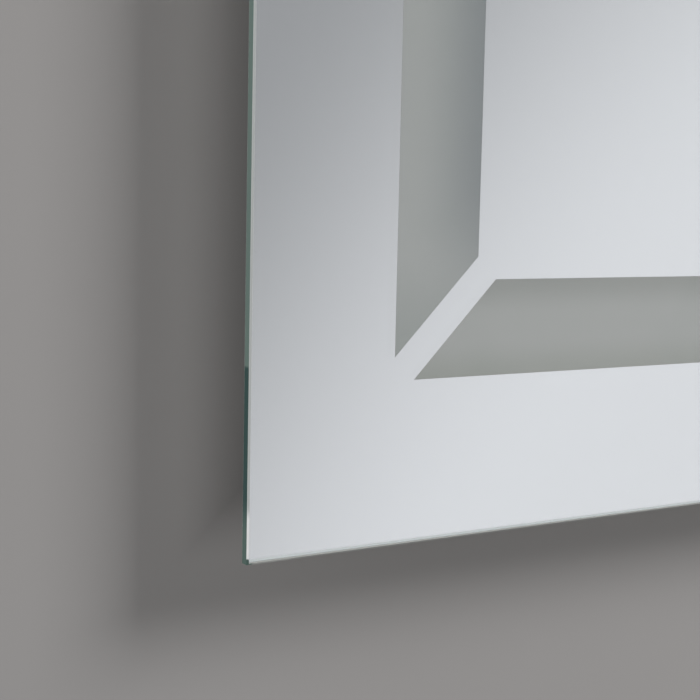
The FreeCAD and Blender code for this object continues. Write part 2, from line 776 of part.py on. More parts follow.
def back_panel_screws():
    one = screw(PANEL_SCREW_LENGTH)
    screws = []
    for side in SIDES:
        for x in panel_screw_places(side):
            point = side_point(side, x, PANEL_BACK, CHAMBER_MIDDLE)
            screws.append(moved(one, point.x, point.y, point.z))
    return group(screws)


def rear_bumpers():
    """Push-in rubber feet that keep the mirror's lower end parallel to the wall."""
    stem, barb, foot = BUMPER_STEM_RADIUS, BUMPER_BARB_RADIUS, BUMPER_RADIUS
    tip, edge = PANEL_FRONT - BUMPER_BARB_LENGTH, PANEL_FRONT - BUMPER_BARB_EDGE
    profile = [
        (0, tip), (stem * 0.6, tip), (barb, edge), (barb, PANEL_FRONT), (stem, PANEL_FRONT),
        (stem, PANEL_BACK), (foot, PANEL_BACK), (foot, -BUMPER_BEVEL_RISE),
        (foot - BUMPER_BEVEL_RUN, 0), (0, 0),
    ]
    return group([moved(turned(profile), x, 0, z) for x, z in bumper_places()])


# --- Light trays and LED bars
def feed_places(side):
    """Where the low voltage pair enters each side's tray, along the side from its middle."""
    hub_x, hub_z = splitter_centre()
    offset = LEAD_SPACING * 1.5
    places = {
        "left": CENTRE_Z - hub_z,
        "top": -(hub_x - offset),
        "right": right_feed_height() - CENTRE_Z,
        "bottom": hub_x,
    }
    return places[side]


def light_tray(side):
    """A folded white tray behind one window, closed at both mitred ends."""
    outer = window(side, (TRAY_RIM, PANEL_FRONT), TRAY_GROW)
    hollow = window(side, (TRAY_RIM - 1, TRAY_FLOOR), TRAY_MARGIN)
    tray = outer.cut(hollow)
    x = feed_places(side)
    entries = [rod(LED_LEAD_RADIUS + LEAD_HOLE_CLEARANCE,
                   side_point(side, x + step * LEAD_SPACING / 2, LEAD_LEVEL, TRAY_FAR - TRAY_GROW),
                   side_point(side, x + step * LEAD_SPACING / 2, LEAD_LEVEL, TRAY_FAR + 1))
               for step in (-1, 1)]
    return tray.cut(entries + rivet_holes((TRAY_FLOOR, PANEL_FRONT)))


def bar_half(side):
    return window_half(side, BAND_MIDDLE + BAR_WIDTH / 2) - BAR_END_GAP


def led_bar(side):
    """A metal-cored circuit bar on the tray's floor, with two raised solder pads."""
    half = bar_half(side)
    edge = BAND_MIDDLE + BAR_WIDTH / 2
    bar = side_block(side, (-half, half), (edge - BAR_WIDTH, edge), (BAR_FRONT, TRAY_FLOOR))
    pad_front = LEAD_LEVEL + LED_LEAD_RADIUS
    pads = []
    for step in (-1, 1):
        x = feed_places(side) + step * LEAD_SPACING / 2
        outer = edge - PAD_FROM_EDGE
        pads.append(side_block(side, (x - PAD_WIDTH / 2, x + PAD_WIDTH / 2),
                               (outer - PAD_LENGTH, outer), (pad_front, BAR_FRONT)))
    return united([bar] + pads)


def led_chips():
    """The LEDs in a row down the middle of each bar."""
    chips = []
    for side in SIDES:
        count = int(2 * bar_half(side) / LED_PITCH)
        for x in evenly(LED_PITCH * (count - 1) / 2, count):
            chips.append(side_block(side, (x - LED_WIDTH / 2, x + LED_WIDTH / 2),
                                    (BAND_MIDDLE - LED_DEPTH / 2, BAND_MIDDLE + LED_DEPTH / 2),
                                    (BAR_FRONT - LED_HEIGHT, BAR_FRONT)))
    return group(chips)


# --- LED driver
def driver_ear_places():
    """The two fixing ears: one above the driver at its right, one below it at its left."""
    reach = DRIVER_WIDTH / 2 + DRIVER_EAR / 2
    x = DRIVER_LENGTH / 2 - DRIVER_EAR
    return [(x, DRIVER_Z + reach), (-x, DRIVER_Z - reach)]


def driver_case():
    """An open tray with two ears, board posts and holes for the leads."""
    half_x, half_z = DRIVER_LENGTH / 2, DRIVER_WIDTH / 2
    front, floor = PANEL_FRONT - DRIVER_HEIGHT + DRIVER_WALL, PANEL_FRONT - DRIVER_WALL
    shell = block((-half_x, half_x), (front, PANEL_FRONT), (DRIVER_Z - half_z, DRIVER_Z + half_z))
    hollow_x, hollow_z = half_x - DRIVER_WALL, half_z - DRIVER_WALL
    hollow = block((-hollow_x, hollow_x), (front - 1, floor),
                   (DRIVER_Z - hollow_z, DRIVER_Z + hollow_z))
    parts = [rounded_corners(shell, DRIVER_CORNER).cut(hollow)]
    for x, z in driver_ear_places():
        near = DRIVER_Z + math.copysign(half_z - 1, z - DRIVER_Z)
        far = z + math.copysign(DRIVER_EAR / 2, z - DRIVER_Z)
        parts.append(block((x - DRIVER_EAR / 2, x + DRIVER_EAR / 2), (floor, PANEL_FRONT), (near, far)))
    post_x, post_z = hollow_x - DRIVER_POST_FROM_END, hollow_z - DRIVER_POST_FROM_SIDE
    for x in (-post_x, post_x):
        for z in (DRIVER_Z - post_z, DRIVER_Z + post_z):
            parts.append(rod(DRIVER_POST_RADIUS, vector(x, floor + POST_ROOT, z),
                             vector(x, board_back(), z)))
    cuts = [hole(x, z, SCREW_RADIUS + HOLE_CLEARANCE, (floor, PANEL_FRONT))
            for x, z in driver_ear_places()]
    cuts += [rod(LED_LEAD_RADIUS + LEAD_HOLE_CLEARANCE, vector(-half_x - 1, LEAD_LEVEL, z),
                 vector(-hollow_x + 1, LEAD_LEVEL, z)) for z in output_heights()]
    cuts += [rod(MAINS_LEAD_RADIUS + LEAD_HOLE_CLEARANCE, vector(hollow_x - 1, LEAD_LEVEL, z),
                 vector(half_x + 1, LEAD_LEVEL, z)) for z in input_heights()]
    return united(parts).cut(cuts)


def output_heights():
    return [DRIVER_Z - LEAD_SPACING / 2, DRIVER_Z + LEAD_SPACING / 2]


def input_heights():
    """The supply leads' heights at the driver: neutral below, switched live above."""
    return [DRIVER_Z - POLE_PITCH / 2, DRIVER_Z + POLE_PITCH / 2]


def board_back():
    return LEAD_LEVEL + BOARD_THICKNESS / 2


def driver_board():
    """The circuit board with its transformer, capacitors and coil."""
    half_x = DRIVER_LENGTH / 2 - DRIVER_WALL - BOARD_EDGE_GAP
    half_z = DRIVER_WIDTH / 2 - DRIVER_WALL - BOARD_SIDE_GAP
    front = LEAD_LEVEL - BOARD_THICKNESS / 2
    parts = [block((-half_x, half_x), (front, board_back()), (DRIVER_Z - half_z, DRIVER_Z + half_z))]
    for x_pair, (z_from, z_to), tall in BOARD_BLOCKS:
        parts.append(block(x_pair, (front - tall, front), (DRIVER_Z + z_from, DRIVER_Z + z_to)))
    for x, z, radius, tall in BOARD_CANS:
        base = vector(x, front, DRIVER_Z + z)
        parts.append(rod(radius, base, base - ALONG_Y * tall))
    return united(parts)


def driver_lid():
    """A flat cover with a lip that drops inside the case's walls."""
    half_x, half_z = DRIVER_LENGTH / 2, DRIVER_WIDTH / 2
    front = PANEL_FRONT - DRIVER_HEIGHT
    seat = front + DRIVER_WALL
    cover = block((-half_x, half_x), (front, seat), (DRIVER_Z - half_z, DRIVER_Z + half_z))
    cover = rounded_corners(cover, DRIVER_CORNER)

    def ring(inset, y_pair):
        x, z = half_x - DRIVER_WALL - inset, half_z - DRIVER_WALL - inset
        return block((-x, x), y_pair, (DRIVER_Z - z, DRIVER_Z + z))

    lip = ring(DRIVER_LIP_GAP, (seat - DRIVER_LIP_GAP, seat + DRIVER_LIP_DEPTH))
    lip = lip.cut(ring(DRIVER_LIP_GAP + DRIVER_LIP_WALL, (seat, seat + DRIVER_LIP_DEPTH + 1)))
    return united([cover, lip])


def driver_screws():
    one = facing(screw(DRIVER_WALL + PANEL_THICKNESS + SCREW_TAIL), -ALONG_Y)
    return group([moved(one, x, PANEL_FRONT - DRIVER_WALL, z) for x, z in driver_ear_places()])


# --- Splitter and low voltage leads
def splitter_centre():
    return -DRIVER_LENGTH / 2 - SPLITTER_GAP - SPLITTER_WIDTH / 2, DRIVER_Z


def right_feed_height():
    """The pair for the right side crosses midway between the driver and the rail's holes."""
    return DRIVER_Z + DRIVER_WIDTH / 2 + DRIVER_EAR + RIGHT_FEED_ABOVE_EAR


def splitter_ports():
    """(mouth, direction, lead radius) of each hole in the splitter."""
    x, z = splitter_centre()
    half_x, half_z, step = SPLITTER_WIDTH / 2, SPLITTER_TALL / 2, LEAD_SPACING / 2
    ports = [(vector(x + half_x, LEAD_LEVEL, height), ALONG_X) for height in output_heights()]
    for sign in (-1, 1):
        ports.append((vector(x - half_x, LEAD_LEVEL, z + sign * step), -ALONG_X))
        ports.append((vector(x + sign * step, LEAD_LEVEL, z - half_z), -ALONG_Z))
        ports.append((vector(x - 3 * step + sign * step, LEAD_LEVEL, z + half_z), ALONG_Z))
        ports.append((vector(x + 3 * step + sign * step, LEAD_LEVEL, z + half_z), ALONG_Z))
    return ports


def lead_splitter():
    x, z = splitter_centre()
    body = block((x - SPLITTER_WIDTH / 2, x + SPLITTER_WIDTH / 2),
                 (PANEL_FRONT - SPLITTER_HEIGHT, PANEL_FRONT),
                 (z - SPLITTER_TALL / 2, z + SPLITTER_TALL / 2))
    front = PANEL_FRONT - SPLITTER_HEIGHT
    rim = edges_at_depth(body, front)
    body = body.makeChamfer(SPLITTER_CHAMFER, rim)
    return body.cut([rod(LED_LEAD_RADIUS + LEAD_HOLE_CLEARANCE, mouth - way * SPLITTER_PORT_DEPTH,
                         mouth + way) for mouth, way in splitter_ports()])


def led_leads(side):
    """The pair from the splitter to one side's bar."""
    hub_x, hub_z = splitter_centre()
    half_x = SPLITTER_WIDTH / 2 - SPLITTER_PORT_DEPTH
    half_z = SPLITTER_TALL / 2 - SPLITTER_PORT_DEPTH
    end_in = BAND_MIDDLE + BAR_WIDTH / 2 - LEAD_ON_BAR
    leads = []
    for step in (-LEAD_SPACING / 2, LEAD_SPACING / 2):
        end = side_point(side, feed_places(side) + step, LEAD_LEVEL, end_in)
        if side == "left":
            route = [vector(hub_x - half_x, LEAD_LEVEL, end.z), end]
        elif side == "right":
            x = hub_x + 3 * LEAD_SPACING / 2 - (end.z - right_feed_height())
            route = [vector(x, LEAD_LEVEL, hub_z + half_z), vector(x, LEAD_LEVEL, end.z), end]
        else:
            start_z = hub_z + math.copysign(half_z, end.z - hub_z)
            route = [vector(end.x, LEAD_LEVEL, start_z), end]
        leads.append(lead(f"led lead {side}", LED_LEAD_RADIUS, route))
    return group(leads)


def driver_output_leads():
    x_start = -DRIVER_LENGTH / 2 + DRIVER_WALL + BOARD_EDGE_GAP
    x_end = splitter_centre()[0] + SPLITTER_WIDTH / 2 - SPLITTER_PORT_DEPTH
    return group([lead("driver output", LED_LEAD_RADIUS,
                       [vector(x_start, LEAD_LEVEL, z), vector(x_end, LEAD_LEVEL, z)])
                  for z in output_heights()])


# --- Junction box and terminals
def pole_heights():
    """Five poles from the top: neutral, switched live (two, linked), live and earth."""
    return [BOX_Z + POLE_PITCH * (2 - i) for i in range(5)]


def box_boss_places():
    """The lid's two screw bosses, at the middle of the box's upper and lower walls."""
    reach = BOX_TALL / 2 - BOX_WALL - BOSS_RADIUS * 0.8
    return [(0, BOX_Z + reach), (0, BOX_Z - reach)]


def cord_clamp_places():
    reach = CORD_CLAMP_LENGTH / 2 - BOSS_RADIUS
    return [(CORD_CLAMP_X, BOX_Z + reach), (CORD_CLAMP_X, BOX_Z - reach)]


def junction_box():
    """An open box with bosses for its lid and for the cord clamp."""
    half_x, half_z = BOX_WIDTH / 2, BOX_TALL / 2
    rim, floor = PANEL_FRONT - BOX_HEIGHT + LID_THICKNESS, PANEL_FRONT - BOX_FLOOR
    clamp_seat = floor - CORD_CLAMP_LIFT
    shell = block((-half_x, half_x), (rim, PANEL_FRONT), (BOX_Z - half_z, BOX_Z + half_z))
    hollow = block((BOX_WALL - half_x, half_x - BOX_WALL), (rim - 1, floor),
                   (BOX_Z - half_z + BOX_WALL, BOX_Z + half_z - BOX_WALL))
    bosses = [(x, z, rim, rim + LID_SCREW_BITE + SCREW_END_ROOM) for x, z in box_boss_places()]
    bosses += [(x, z, clamp_seat, floor - SCREW_END_ROOM) for x, z in cord_clamp_places()]
    parts = [rounded_corners(shell, BOX_CORNER).cut(hollow)]
    parts += [rod(BOSS_RADIUS, vector(x, floor + POST_ROOT, z), vector(x, seat, z))
              for x, z, seat, _ in bosses]
    cuts = rivet_holes((floor, PANEL_FRONT))
    cuts.append(hole(-ENTRY_LEFT, BOX_Z, GROMMET_NECK + HOLE_CLEARANCE, (floor, PANEL_FRONT)))
    cuts += [rod(SCREW_RADIUS + HOLE_CLEARANCE, vector(x, seat - 1, z), vector(x, end, z))
             for x, z, seat, end in bosses]
    cuts += [rod(MAINS_LEAD_RADIUS + LEAD_HOLE_CLEARANCE, vector(half_x - BOX_WALL - 1, LEAD_LEVEL, z),
                 vector(half_x + 1, LEAD_LEVEL, z)) for z in pole_heights()]
    return united(parts).cut(cuts)


def junction_lid():
    half_x, half_z = BOX_WIDTH / 2, BOX_TALL / 2
    front = PANEL_FRONT - BOX_HEIGHT
    back = front + LID_THICKNESS
    lid = rounded_corners(block((-half_x, half_x), (front, back), (BOX_Z - half_z, BOX_Z + half_z)),
                          BOX_CORNER)
    return lid.cut([hole(x, z, SCREW_RADIUS + HOLE_CLEARANCE, (front, back))
                    for x, z in box_boss_places()])


def junction_screws():
    """Two screws for the lid and two for the cord clamp."""
    lid_seat = PANEL_FRONT - BOX_HEIGHT
    clamp_seat = PANEL_FRONT - BOX_FLOOR - CORD_CLAMP_LIFT - CORD_CLAMP_THICKNESS
    lid_screw = facing(screw(LID_THICKNESS + LID_SCREW_BITE), -ALONG_Y)
    clamp_screw = facing(screw(CORD_CLAMP_THICKNESS + CLAMP_SCREW_BITE), -ALONG_Y)
    screws = [moved(lid_screw, x, lid_seat, z) for x, z in box_boss_places()]
    screws += [moved(clamp_screw, x, clamp_seat, z) for x, z in cord_clamp_places()]
    return group(screws)


def cord_clamp():
    """A bar across the incoming cable, ribbed underneath."""
    back = PANEL_FRONT - BOX_FLOOR - CORD_CLAMP_LIFT
    front = back - CORD_CLAMP_THICKNESS
    half_x, half_z = CORD_CLAMP_WIDTH / 2, CORD_CLAMP_LENGTH / 2
    parts = [block((CORD_CLAMP_X - half_x, CORD_CLAMP_X + half_x), (front, back),
                   (BOX_Z - half_z, BOX_Z + half_z))]
    for x in (CORD_CLAMP_X - CORD_RIB_X, CORD_CLAMP_X + CORD_RIB_X):
        parts.append(block((x - CORD_RIB_WIDTH / 2, x + CORD_RIB_WIDTH / 2),
                           (back, back + CORD_RIB_HEIGHT),
                           (BOX_Z - CORD_RIB_LENGTH / 2, BOX_Z + CORD_RIB_LENGTH / 2)))
    return united(parts).cut([hole(x, z, SCREW_RADIUS + HOLE_CLEARANCE, (front, back))
                              for x, z in cord_clamp_places()])


def pole_screw_places():
    return [(TERMINAL_X + sign * TERMINAL_WIDTH / 4, z) for z in pole_heights() for sign in (-1, 1)]


def link_block(inset):
    """The bridge between the two switched live poles, shortened at both ends."""
    poles = pole_heights()
    half = LINK_WIDTH / 2
    return block((TERMINAL_X - half, TERMINAL_X + half), (LEAD_LEVEL - half, LEAD_LEVEL + half),
                 (poles[2] + inset, poles[1] - inset))


def terminal_block():
    """A five-pole block: one bore per pole across it and two screw wells over each bore."""
    half_x, half_pole, half_tower = TERMINAL_WIDTH / 2, POLE_PITCH / 2, TOWER_WIDTH / 2
    back = PANEL_FRONT - BOX_FLOOR
    front = back - TERMINAL_HEIGHT
    poles = pole_heights()
    x_pair = (TERMINAL_X - half_x, TERMINAL_X + half_x)
    base = block(x_pair, (front + TOWER_HEIGHT, back), (poles[-1] - half_pole, poles[0] + half_pole))
    towers = [block(x_pair, (front, front + TOWER_HEIGHT + 1), (z - half_tower, z + half_tower))
              for z in poles]
    cuts = [rod(CLAMP_OUTER, vector(x_pair[0] - 1, LEAD_LEVEL, z), vector(x_pair[1] + 1, LEAD_LEVEL, z))
            for z in poles]
    cuts += [rod(SCREW_RADIUS + WELL_CLEARANCE, vector(x, front - 1, z), vector(x, LEAD_LEVEL, z))
             for x, z in pole_screw_places()]
    return united([base] + towers).cut(cuts + [link_block(0)])


def terminal_clamps():
    """Brass sleeves in the bores. The two switched live sleeves are joined by a link."""
    half_x = TERMINAL_WIDTH / 2
    sleeves = []
    for z in pole_heights():
        start, end = (vector(TERMINAL_X + sign * half_x, LEAD_LEVEL, z) for sign in (-1, 1))
        sleeves.append(rod(CLAMP_OUTER, start, end).cut(rod(CLAMP_BORE, start - ALONG_X, end + ALONG_X)))
    joined = united([sleeves[1], sleeves[2], link_block(CLAMP_BORE + LINK_INSET)])
    ports = [rod(CLAMP_PORT_RADIUS, vector(x, LEAD_LEVEL - CLAMP_OUTER - 1, z), vector(x, LEAD_LEVEL, z))
             for x, z in pole_screw_places()]
    return group([sleeve.cut(ports) for sleeve in (sleeves[0], joined, sleeves[3], sleeves[4])])


def terminal_screws():
    """Slotted screws in the wells, each standing on its sleeve."""
    screws = []
    start = LEAD_LEVEL - CLAMP_OUTER - HOLE_CLEARANCE
    front = PANEL_FRONT - BOX_FLOOR - TERMINAL_HEIGHT + WELL_RECESS
    reach = SCREW_RADIUS + WELL_CLEARANCE
    for x, z in pole_screw_places():
        body = rod(SCREW_RADIUS, vector(x, start, z), vector(x, front, z))
        slot = block((x - reach, x + reach), (front - 1, front + SLOT_DEPTH),
                     (z - SLOT_WIDTH / 2, z + SLOT_WIDTH / 2))
        screws.append(body.cut(slot))
    return group(screws)


def entry_grommet():
    """The supply inlet: a rubber bush that locks the box's floor to the panel."""
    front = PANEL_FRONT - BOX_FLOOR
    profile = [
        (ENTRY_RADIUS, front - GROMMET_LIP), (GROMMET_FLANGE, front - GROMMET_LIP),
        (GROMMET_FLANGE, front), (GROMMET_NECK, front), (GROMMET_NECK, PANEL_BACK),
        (GROMMET_FLANGE, PANEL_BACK), (GROMMET_FLANGE, PANEL_BACK + GROMMET_LIP),
        (ENTRY_RADIUS, PANEL_BACK + GROMMET_LIP),
    ]
    return moved(turned(profile), -ENTRY_LEFT, 0, BOX_Z)


# --- Mains and earth leads
def mains_routes():
    """Neutral and switched live, from their poles round to the driver's right end."""
    start_x = TERMINAL_X + TERMINAL_WIDTH / 2 - LEAD_IN_POLE
    end_x = DRIVER_LENGTH / 2 - DRIVER_WALL - BOARD_EDGE_GAP
    poles = pole_heights()
    routes = []
    for i, end_z in enumerate(input_heights()):
        column = mains_column() + LEAD_SPACING * (i - 0.5)
        routes.append([vector(start_x, LEAD_LEVEL, poles[i]), vector(column, LEAD_LEVEL, poles[i]),
                       vector(column, LEAD_LEVEL, end_z), vector(end_x, LEAD_LEVEL, end_z)])
    return routes


def mains_column():
    return DRIVER_LENGTH / 2 + MAINS_COLUMN_GAP


def switch_column():
    """The x at which the switch leads run down, to meet the alley's middle line."""
    return mains_column() + SWITCH_COLUMN_GAP


def earth_column():
    return BOX_WIDTH / 2 + EARTH_COLUMN_GAP


def switch_routes():
    """Live to the switch and switched live back, through the alley at the lower right corner."""
    start_x = TERMINAL_X + TERMINAL_WIDTH / 2 - LEAD_IN_POLE
    poles = pole_heights()
    tab_level = SWITCH_Y - TAB_THICKNESS / 2 - MAINS_LEAD_RADIUS
    routes = []
    for pole, sign in ((poles[3], -1), (poles[2], 1)):
        offset = sign * LEAD_SPACING / 2
        column = switch_column() + offset
        meet = alley_point(HALF_WIDTH - column + offset / math.sqrt(2), offset, LEAD_LEVEL)
        tab_x = SWITCH_X + sign * TAB_SPACING / 2
        over_tab = alley_point(HALF_WIDTH - tab_x + sign * ALLEY_SHIFT, offset, tab_level)
        route = [
            vector(start_x, LEAD_LEVEL, pole), vector(column, LEAD_LEVEL, pole), meet,
            alley_point(TRAY_FAR - ALLEY_RAMP_IN, offset, LEAD_LEVEL),
            alley_point(TRAY_NEAR + ALLEY_RAMP_IN, offset, tab_level), over_tab,
        ]
        if over_tab.z > TAB_Z + 1:
            route.append(vector(tab_x, tab_level, TAB_Z - 1))
        routes.append(route)
    return routes


def earth_route():
    start_x = TERMINAL_X + TERMINAL_WIDTH / 2 - LEAD_IN_POLE
    column = earth_column()
    pole = pole_heights()[4]
    return [vector(start_x, LEAD_LEVEL, pole), vector(column, LEAD_LEVEL, pole),
            vector(column, LEAD_LEVEL, EARTH_Z), vector(tag_end() - LEAD_IN_TAG, LEAD_LEVEL, EARTH_Z)]


def mains_leads():
    return group([lead("mains lead", MAINS_LEAD_RADIUS, route) for route in mains_routes()])


def switch_leads():
    return group([lead("switch lead", MAINS_LEAD_RADIUS, route) for route in switch_routes()])


def earth_lead():
    return lead("earth lead", MAINS_LEAD_RADIUS, earth_route())


def tag_end():
    """The open end of the earth tag's barrel."""
    return EARTH_X + TAG_LENGTH


def earth_tag():
    """A ring terminal: flat ring round the stud, and a barrel crimped on the lead."""
    levels = (LEAD_LEVEL - TAG_THICKNESS / 2, LEAD_LEVEL + TAG_THICKNESS / 2)
    barrel_start, end = tag_end() - TAG_BARREL_LENGTH, tag_end()
    ring = rod(TAG_RING_RADIUS, vector(EARTH_X, levels[0], EARTH_Z), vector(EARTH_X, levels[1], EARTH_Z))
    neck = block((EARTH_X, barrel_start + TAG_OVERLAP), levels,
                 (EARTH_Z - TAG_NECK_WIDTH / 2, EARTH_Z + TAG_NECK_WIDTH / 2))
    barrel = rod(MAINS_LEAD_RADIUS + TAG_BARREL_WALL, vector(barrel_start, LEAD_LEVEL, EARTH_Z),
                 vector(end, LEAD_LEVEL, EARTH_Z))
    bore = rod(MAINS_LEAD_RADIUS + HOLE_CLEARANCE,
               vector(end - LEAD_IN_TAG - TAG_END_ROOM, LEAD_LEVEL, EARTH_Z),
               vector(end + 1, LEAD_LEVEL, EARTH_Z))
    stud = hole(EARTH_X, EARTH_Z, STUD_RADIUS + HOLE_CLEARANCE, levels)
    return united([ring, neck, barrel]).cut([bore, stud])


def earth_stud():
    """A stud with its flat head behind the panel."""
    tip = LEAD_LEVEL - TAG_THICKNESS / 2 - NUT_HEIGHT - STUD_PAST_NUT
    seat = vector(EARTH_X, PANEL_BACK, EARTH_Z)
    shank = rod(STUD_RADIUS, seat, vector(EARTH_X, tip, EARTH_Z))
    head = rod(STUD_HEAD_RADIUS, seat, seat + ALONG_Y * STUD_HEAD_HEIGHT)
    stud = united([shank, head])
    rim = edges_at_depth(stud, tip)
    return stud.makeChamfer(STUD_CHAMFER, rim)


def earth_nuts():
    """One nut against the panel and one over the tag."""
    corner = NUT_ACROSS_FLATS / math.sqrt(3)
    outline = [(corner * math.cos(math.radians(60 * i)), corner * math.sin(math.radians(60 * i)))
               for i in range(6)]
    half = TAG_THICKNESS / 2
    nuts = []
    for y_pair in ((PANEL_FRONT, LEAD_LEVEL + half), (LEAD_LEVEL - half, LEAD_LEVEL - half - NUT_HEIGHT)):
        nut = plate(outline, *y_pair).cut(hole(0, 0, STUD_RADIUS + HOLE_CLEARANCE, y_pair))
        nuts.append(moved(nut, EARTH_X, 0, EARTH_Z))
    return group(nuts)


def cable_clips():
    """Clips along every run of leads."""
    hub_x, hub_z = splitter_centre()
    left_mouth = HALF_WIDTH - TRAY_FAR
    low_end = BOTTOM + TRAY_FAR
    right_x = hub_x + 3 * LEAD_SPACING / 2
    top_x = hub_x - 3 * LEAD_SPACING / 2
    led, mains = LED_LEAD_RADIUS, MAINS_LEAD_RADIUS
    clips = [clip((hub_x - SPLITTER_WIDTH / 2 - left_mouth) / 2, hub_z, led, "x")]
    clips += [clip(hub_x, hub_z + (low_end - hub_z) * share, led, "z") for share in (0.3, 0.6, 0.9)]
    clips.append(clip(top_x, (hub_z + TOP - TRAY_FAR) / 2 + TOP_CLIP_LIFT, led, "z"))
    clips += [clip(right_x + (left_mouth - right_x) * share, right_feed_height(), led, "x")
              for share in (0.2, 0.5, 0.8)]
    clips.append(clip(mains_column(), (DRIVER_Z + BOX_Z) / 2, mains, "z"))
    clips += [clip(switch_column(), BOX_Z + (low_end - BOX_Z) * share, mains, "z")
              for share in (0.25, 0.6)]
    clips.append(clip(earth_column(), (EARTH_Z + pole_heights()[4]) / 2, mains, "z", 1))
    return group(clips)


# --- Rocker switch
def switch_cutout():
    half_x, half_y = SWITCH_CUTOUT_LENGTH / 2, SWITCH_CUTOUT_WIDTH / 2
    return block((SWITCH_X - half_x, SWITCH_X + half_x), (SWITCH_Y - half_y, SWITCH_Y + half_y),
                 (SWITCH_Z - 1, SWITCH_Z + FRAME_WALL + 1))


def switch_cavity_half():
    """Half the cavity's length and width, round the rocker."""
    return ROCKER_RADIUS + ROCKER_SIDE_GAP, ROCKER_WIDTH / 2 + ROCKER_SIDE_GAP


def switch_body():
    """The moulded body in the cut-out, its bezel below, and the rocker's cavity."""
    half_x, half_y = SWITCH_CUTOUT_LENGTH / 2, SWITCH_CUTOUT_WIDTH / 2
    gap, rim = SWITCH_BODY_CLEARANCE, SWITCH_BEZEL_RIM
    body = block((gap - half_x, half_x - gap), (gap - half_y, half_y - gap), (0, SWITCH_DEPTH))
    bezel = block((-half_x - rim, half_x + rim), (-half_y - rim, half_y + rim),
                  (-SWITCH_BEZEL_THICKNESS, 0))
    lower_edges = [edge for edge in bezel.Edges if edge.CenterOfMass.z < -0.01]
    bezel = bezel.makeChamfer(SWITCH_BEZEL_CHAMFER, lower_edges)
    cavity_x, cavity_y = switch_cavity_half()
    cavity = block((-cavity_x, cavity_x), (-cavity_y, cavity_y),
                   (-SWITCH_BEZEL_THICKNESS - 1, SWITCH_CAVITY_DEPTH))
    reach = cavity_y + PIVOT_PIN_LENGTH + PIVOT_PIN_END_ROOM
    bores = rod(PIVOT_PIN_RADIUS + PIVOT_PIN_CLEARANCE, vector(0, -reach, 0), vector(0, reach, 0))
    return moved(united([body, bezel]).cut([cavity, bores]), SWITCH_X, SWITCH_Y, SWITCH_Z)


def rocker_button():
    """A rocker whose ends are round about its pivot, tipped to its off side.
    Its outer face is a shallow valley, so that the pressed half lies level."""
    half_width = ROCKER_WIDTH / 2
    disc = rod(ROCKER_RADIUS, vector(0, -half_width, 0), vector(0, half_width, 0))
    edge = ROCKER_RADIUS + 1
    drop = ROCKER_VALLEY + edge * math.tan(math.radians(ROCKER_TILT))
    outline = [
        (0, -ROCKER_VALLEY), (edge, -drop), (edge, ROCKER_INNER), (-edge, ROCKER_INNER), (-edge, -drop),
    ]
    button = disc.common(plate(outline, -half_width, half_width))
    reach = half_width + ROCKER_SIDE_GAP + PIVOT_PIN_LENGTH
    pin = rod(PIVOT_PIN_RADIUS, vector(0, -reach, 0), vector(0, reach, 0))
    stem_y = half_width - STEM_FROM_FACE
    stem = block((-STEM_WIDTH / 2, STEM_WIDTH / 2), (-stem_y, stem_y), (0, ROCKER_INNER + STEM_LENGTH))
    button = united([button, pin, stem]).rotated(vector(0, 0, 0), ALONG_Y, -ROCKER_TILT)
    return moved(button, SWITCH_X, SWITCH_Y, SWITCH_Z)


def switch_tabs():
    """Two blades out of the body's inner end."""
    start = SWITCH_Z + SWITCH_DEPTH
    half = TAB_WIDTH / 2
    tabs = []
    for sign in (-1, 1):
        x = SWITCH_X + sign * TAB_SPACING / 2
        tabs.append(block((x - half, x + half),
                          (SWITCH_Y - TAB_THICKNESS / 2, SWITCH_Y + TAB_THICKNESS / 2),
                          (start, start + TAB_LENGTH)))
    return group(tabs)


# --- Every node
NODES = {
    "wall_rail": wall_rail(),
    "hanging_bracket": hanging_bracket(),
    "bracket_rivets": bracket_rivets(),
    "mirror_glass": mirror_glass(),
    "silver_coating": coating(GLASS_BACK, SILVER_BACK),
    "safety_film": coating(SILVER_BACK, FILM_BACK),
    "bonding_tape": bonding_tape(),
    "corner_keys": corner_keys(),
    "corner_screws": corner_screws(),
    "back_panel": back_panel(),
    "back_panel_screws": back_panel_screws(),
    "panel_rivets": panel_rivets(),
    "rear_bumpers": rear_bumpers(),
    "led_chips": led_chips(),
    "driver_case": driver_case(),
    "driver_board": driver_board(),
    "driver_lid": driver_lid(),
    "driver_screws": driver_screws(),
    "lead_splitter": lead_splitter(),
    "driver_output_leads": driver_output_leads(),
    "junction_box": junction_box(),
    "junction_lid": junction_lid(),
    "junction_screws": junction_screws(),
    "cord_clamp": cord_clamp(),
    "terminal_block": terminal_block(),
    "terminal_clamps": terminal_clamps(),
    "terminal_screws": terminal_screws(),
    "entry_grommet": entry_grommet(),
    "mains_leads": mains_leads(),
    "switch_leads": switch_leads(),
    "earth_lead": earth_lead(),
    "earth_tag": earth_tag(),
    "earth_stud": earth_stud(),
    "earth_nuts": earth_nuts(),
    "cable_clips": cable_clips(),
    "switch_body": switch_body(),
    "switch_tabs": switch_tabs(),
    "rocker_button": rocker_button(),
}
for side in SIDES:
    NODES[f"light_diffuser_{side}"] = light_diffuser(side)
    NODES[f"frame_{side}"] = frame_profile(side)
    NODES[f"light_tray_{side}"] = light_tray(side)
    NODES[f"led_bar_{side}"] = led_bar(side)
    NODES[f"led_leads_{side}"] = led_leads(side)

os.makedirs("parts", exist_ok=True)
for node, shape in NODES.items():
    shape.exportStep(f"parts/{node}.step")
print(len(NODES), "nodes")
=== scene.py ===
import json
import math

import bpy
from mathutils import Matrix, Vector


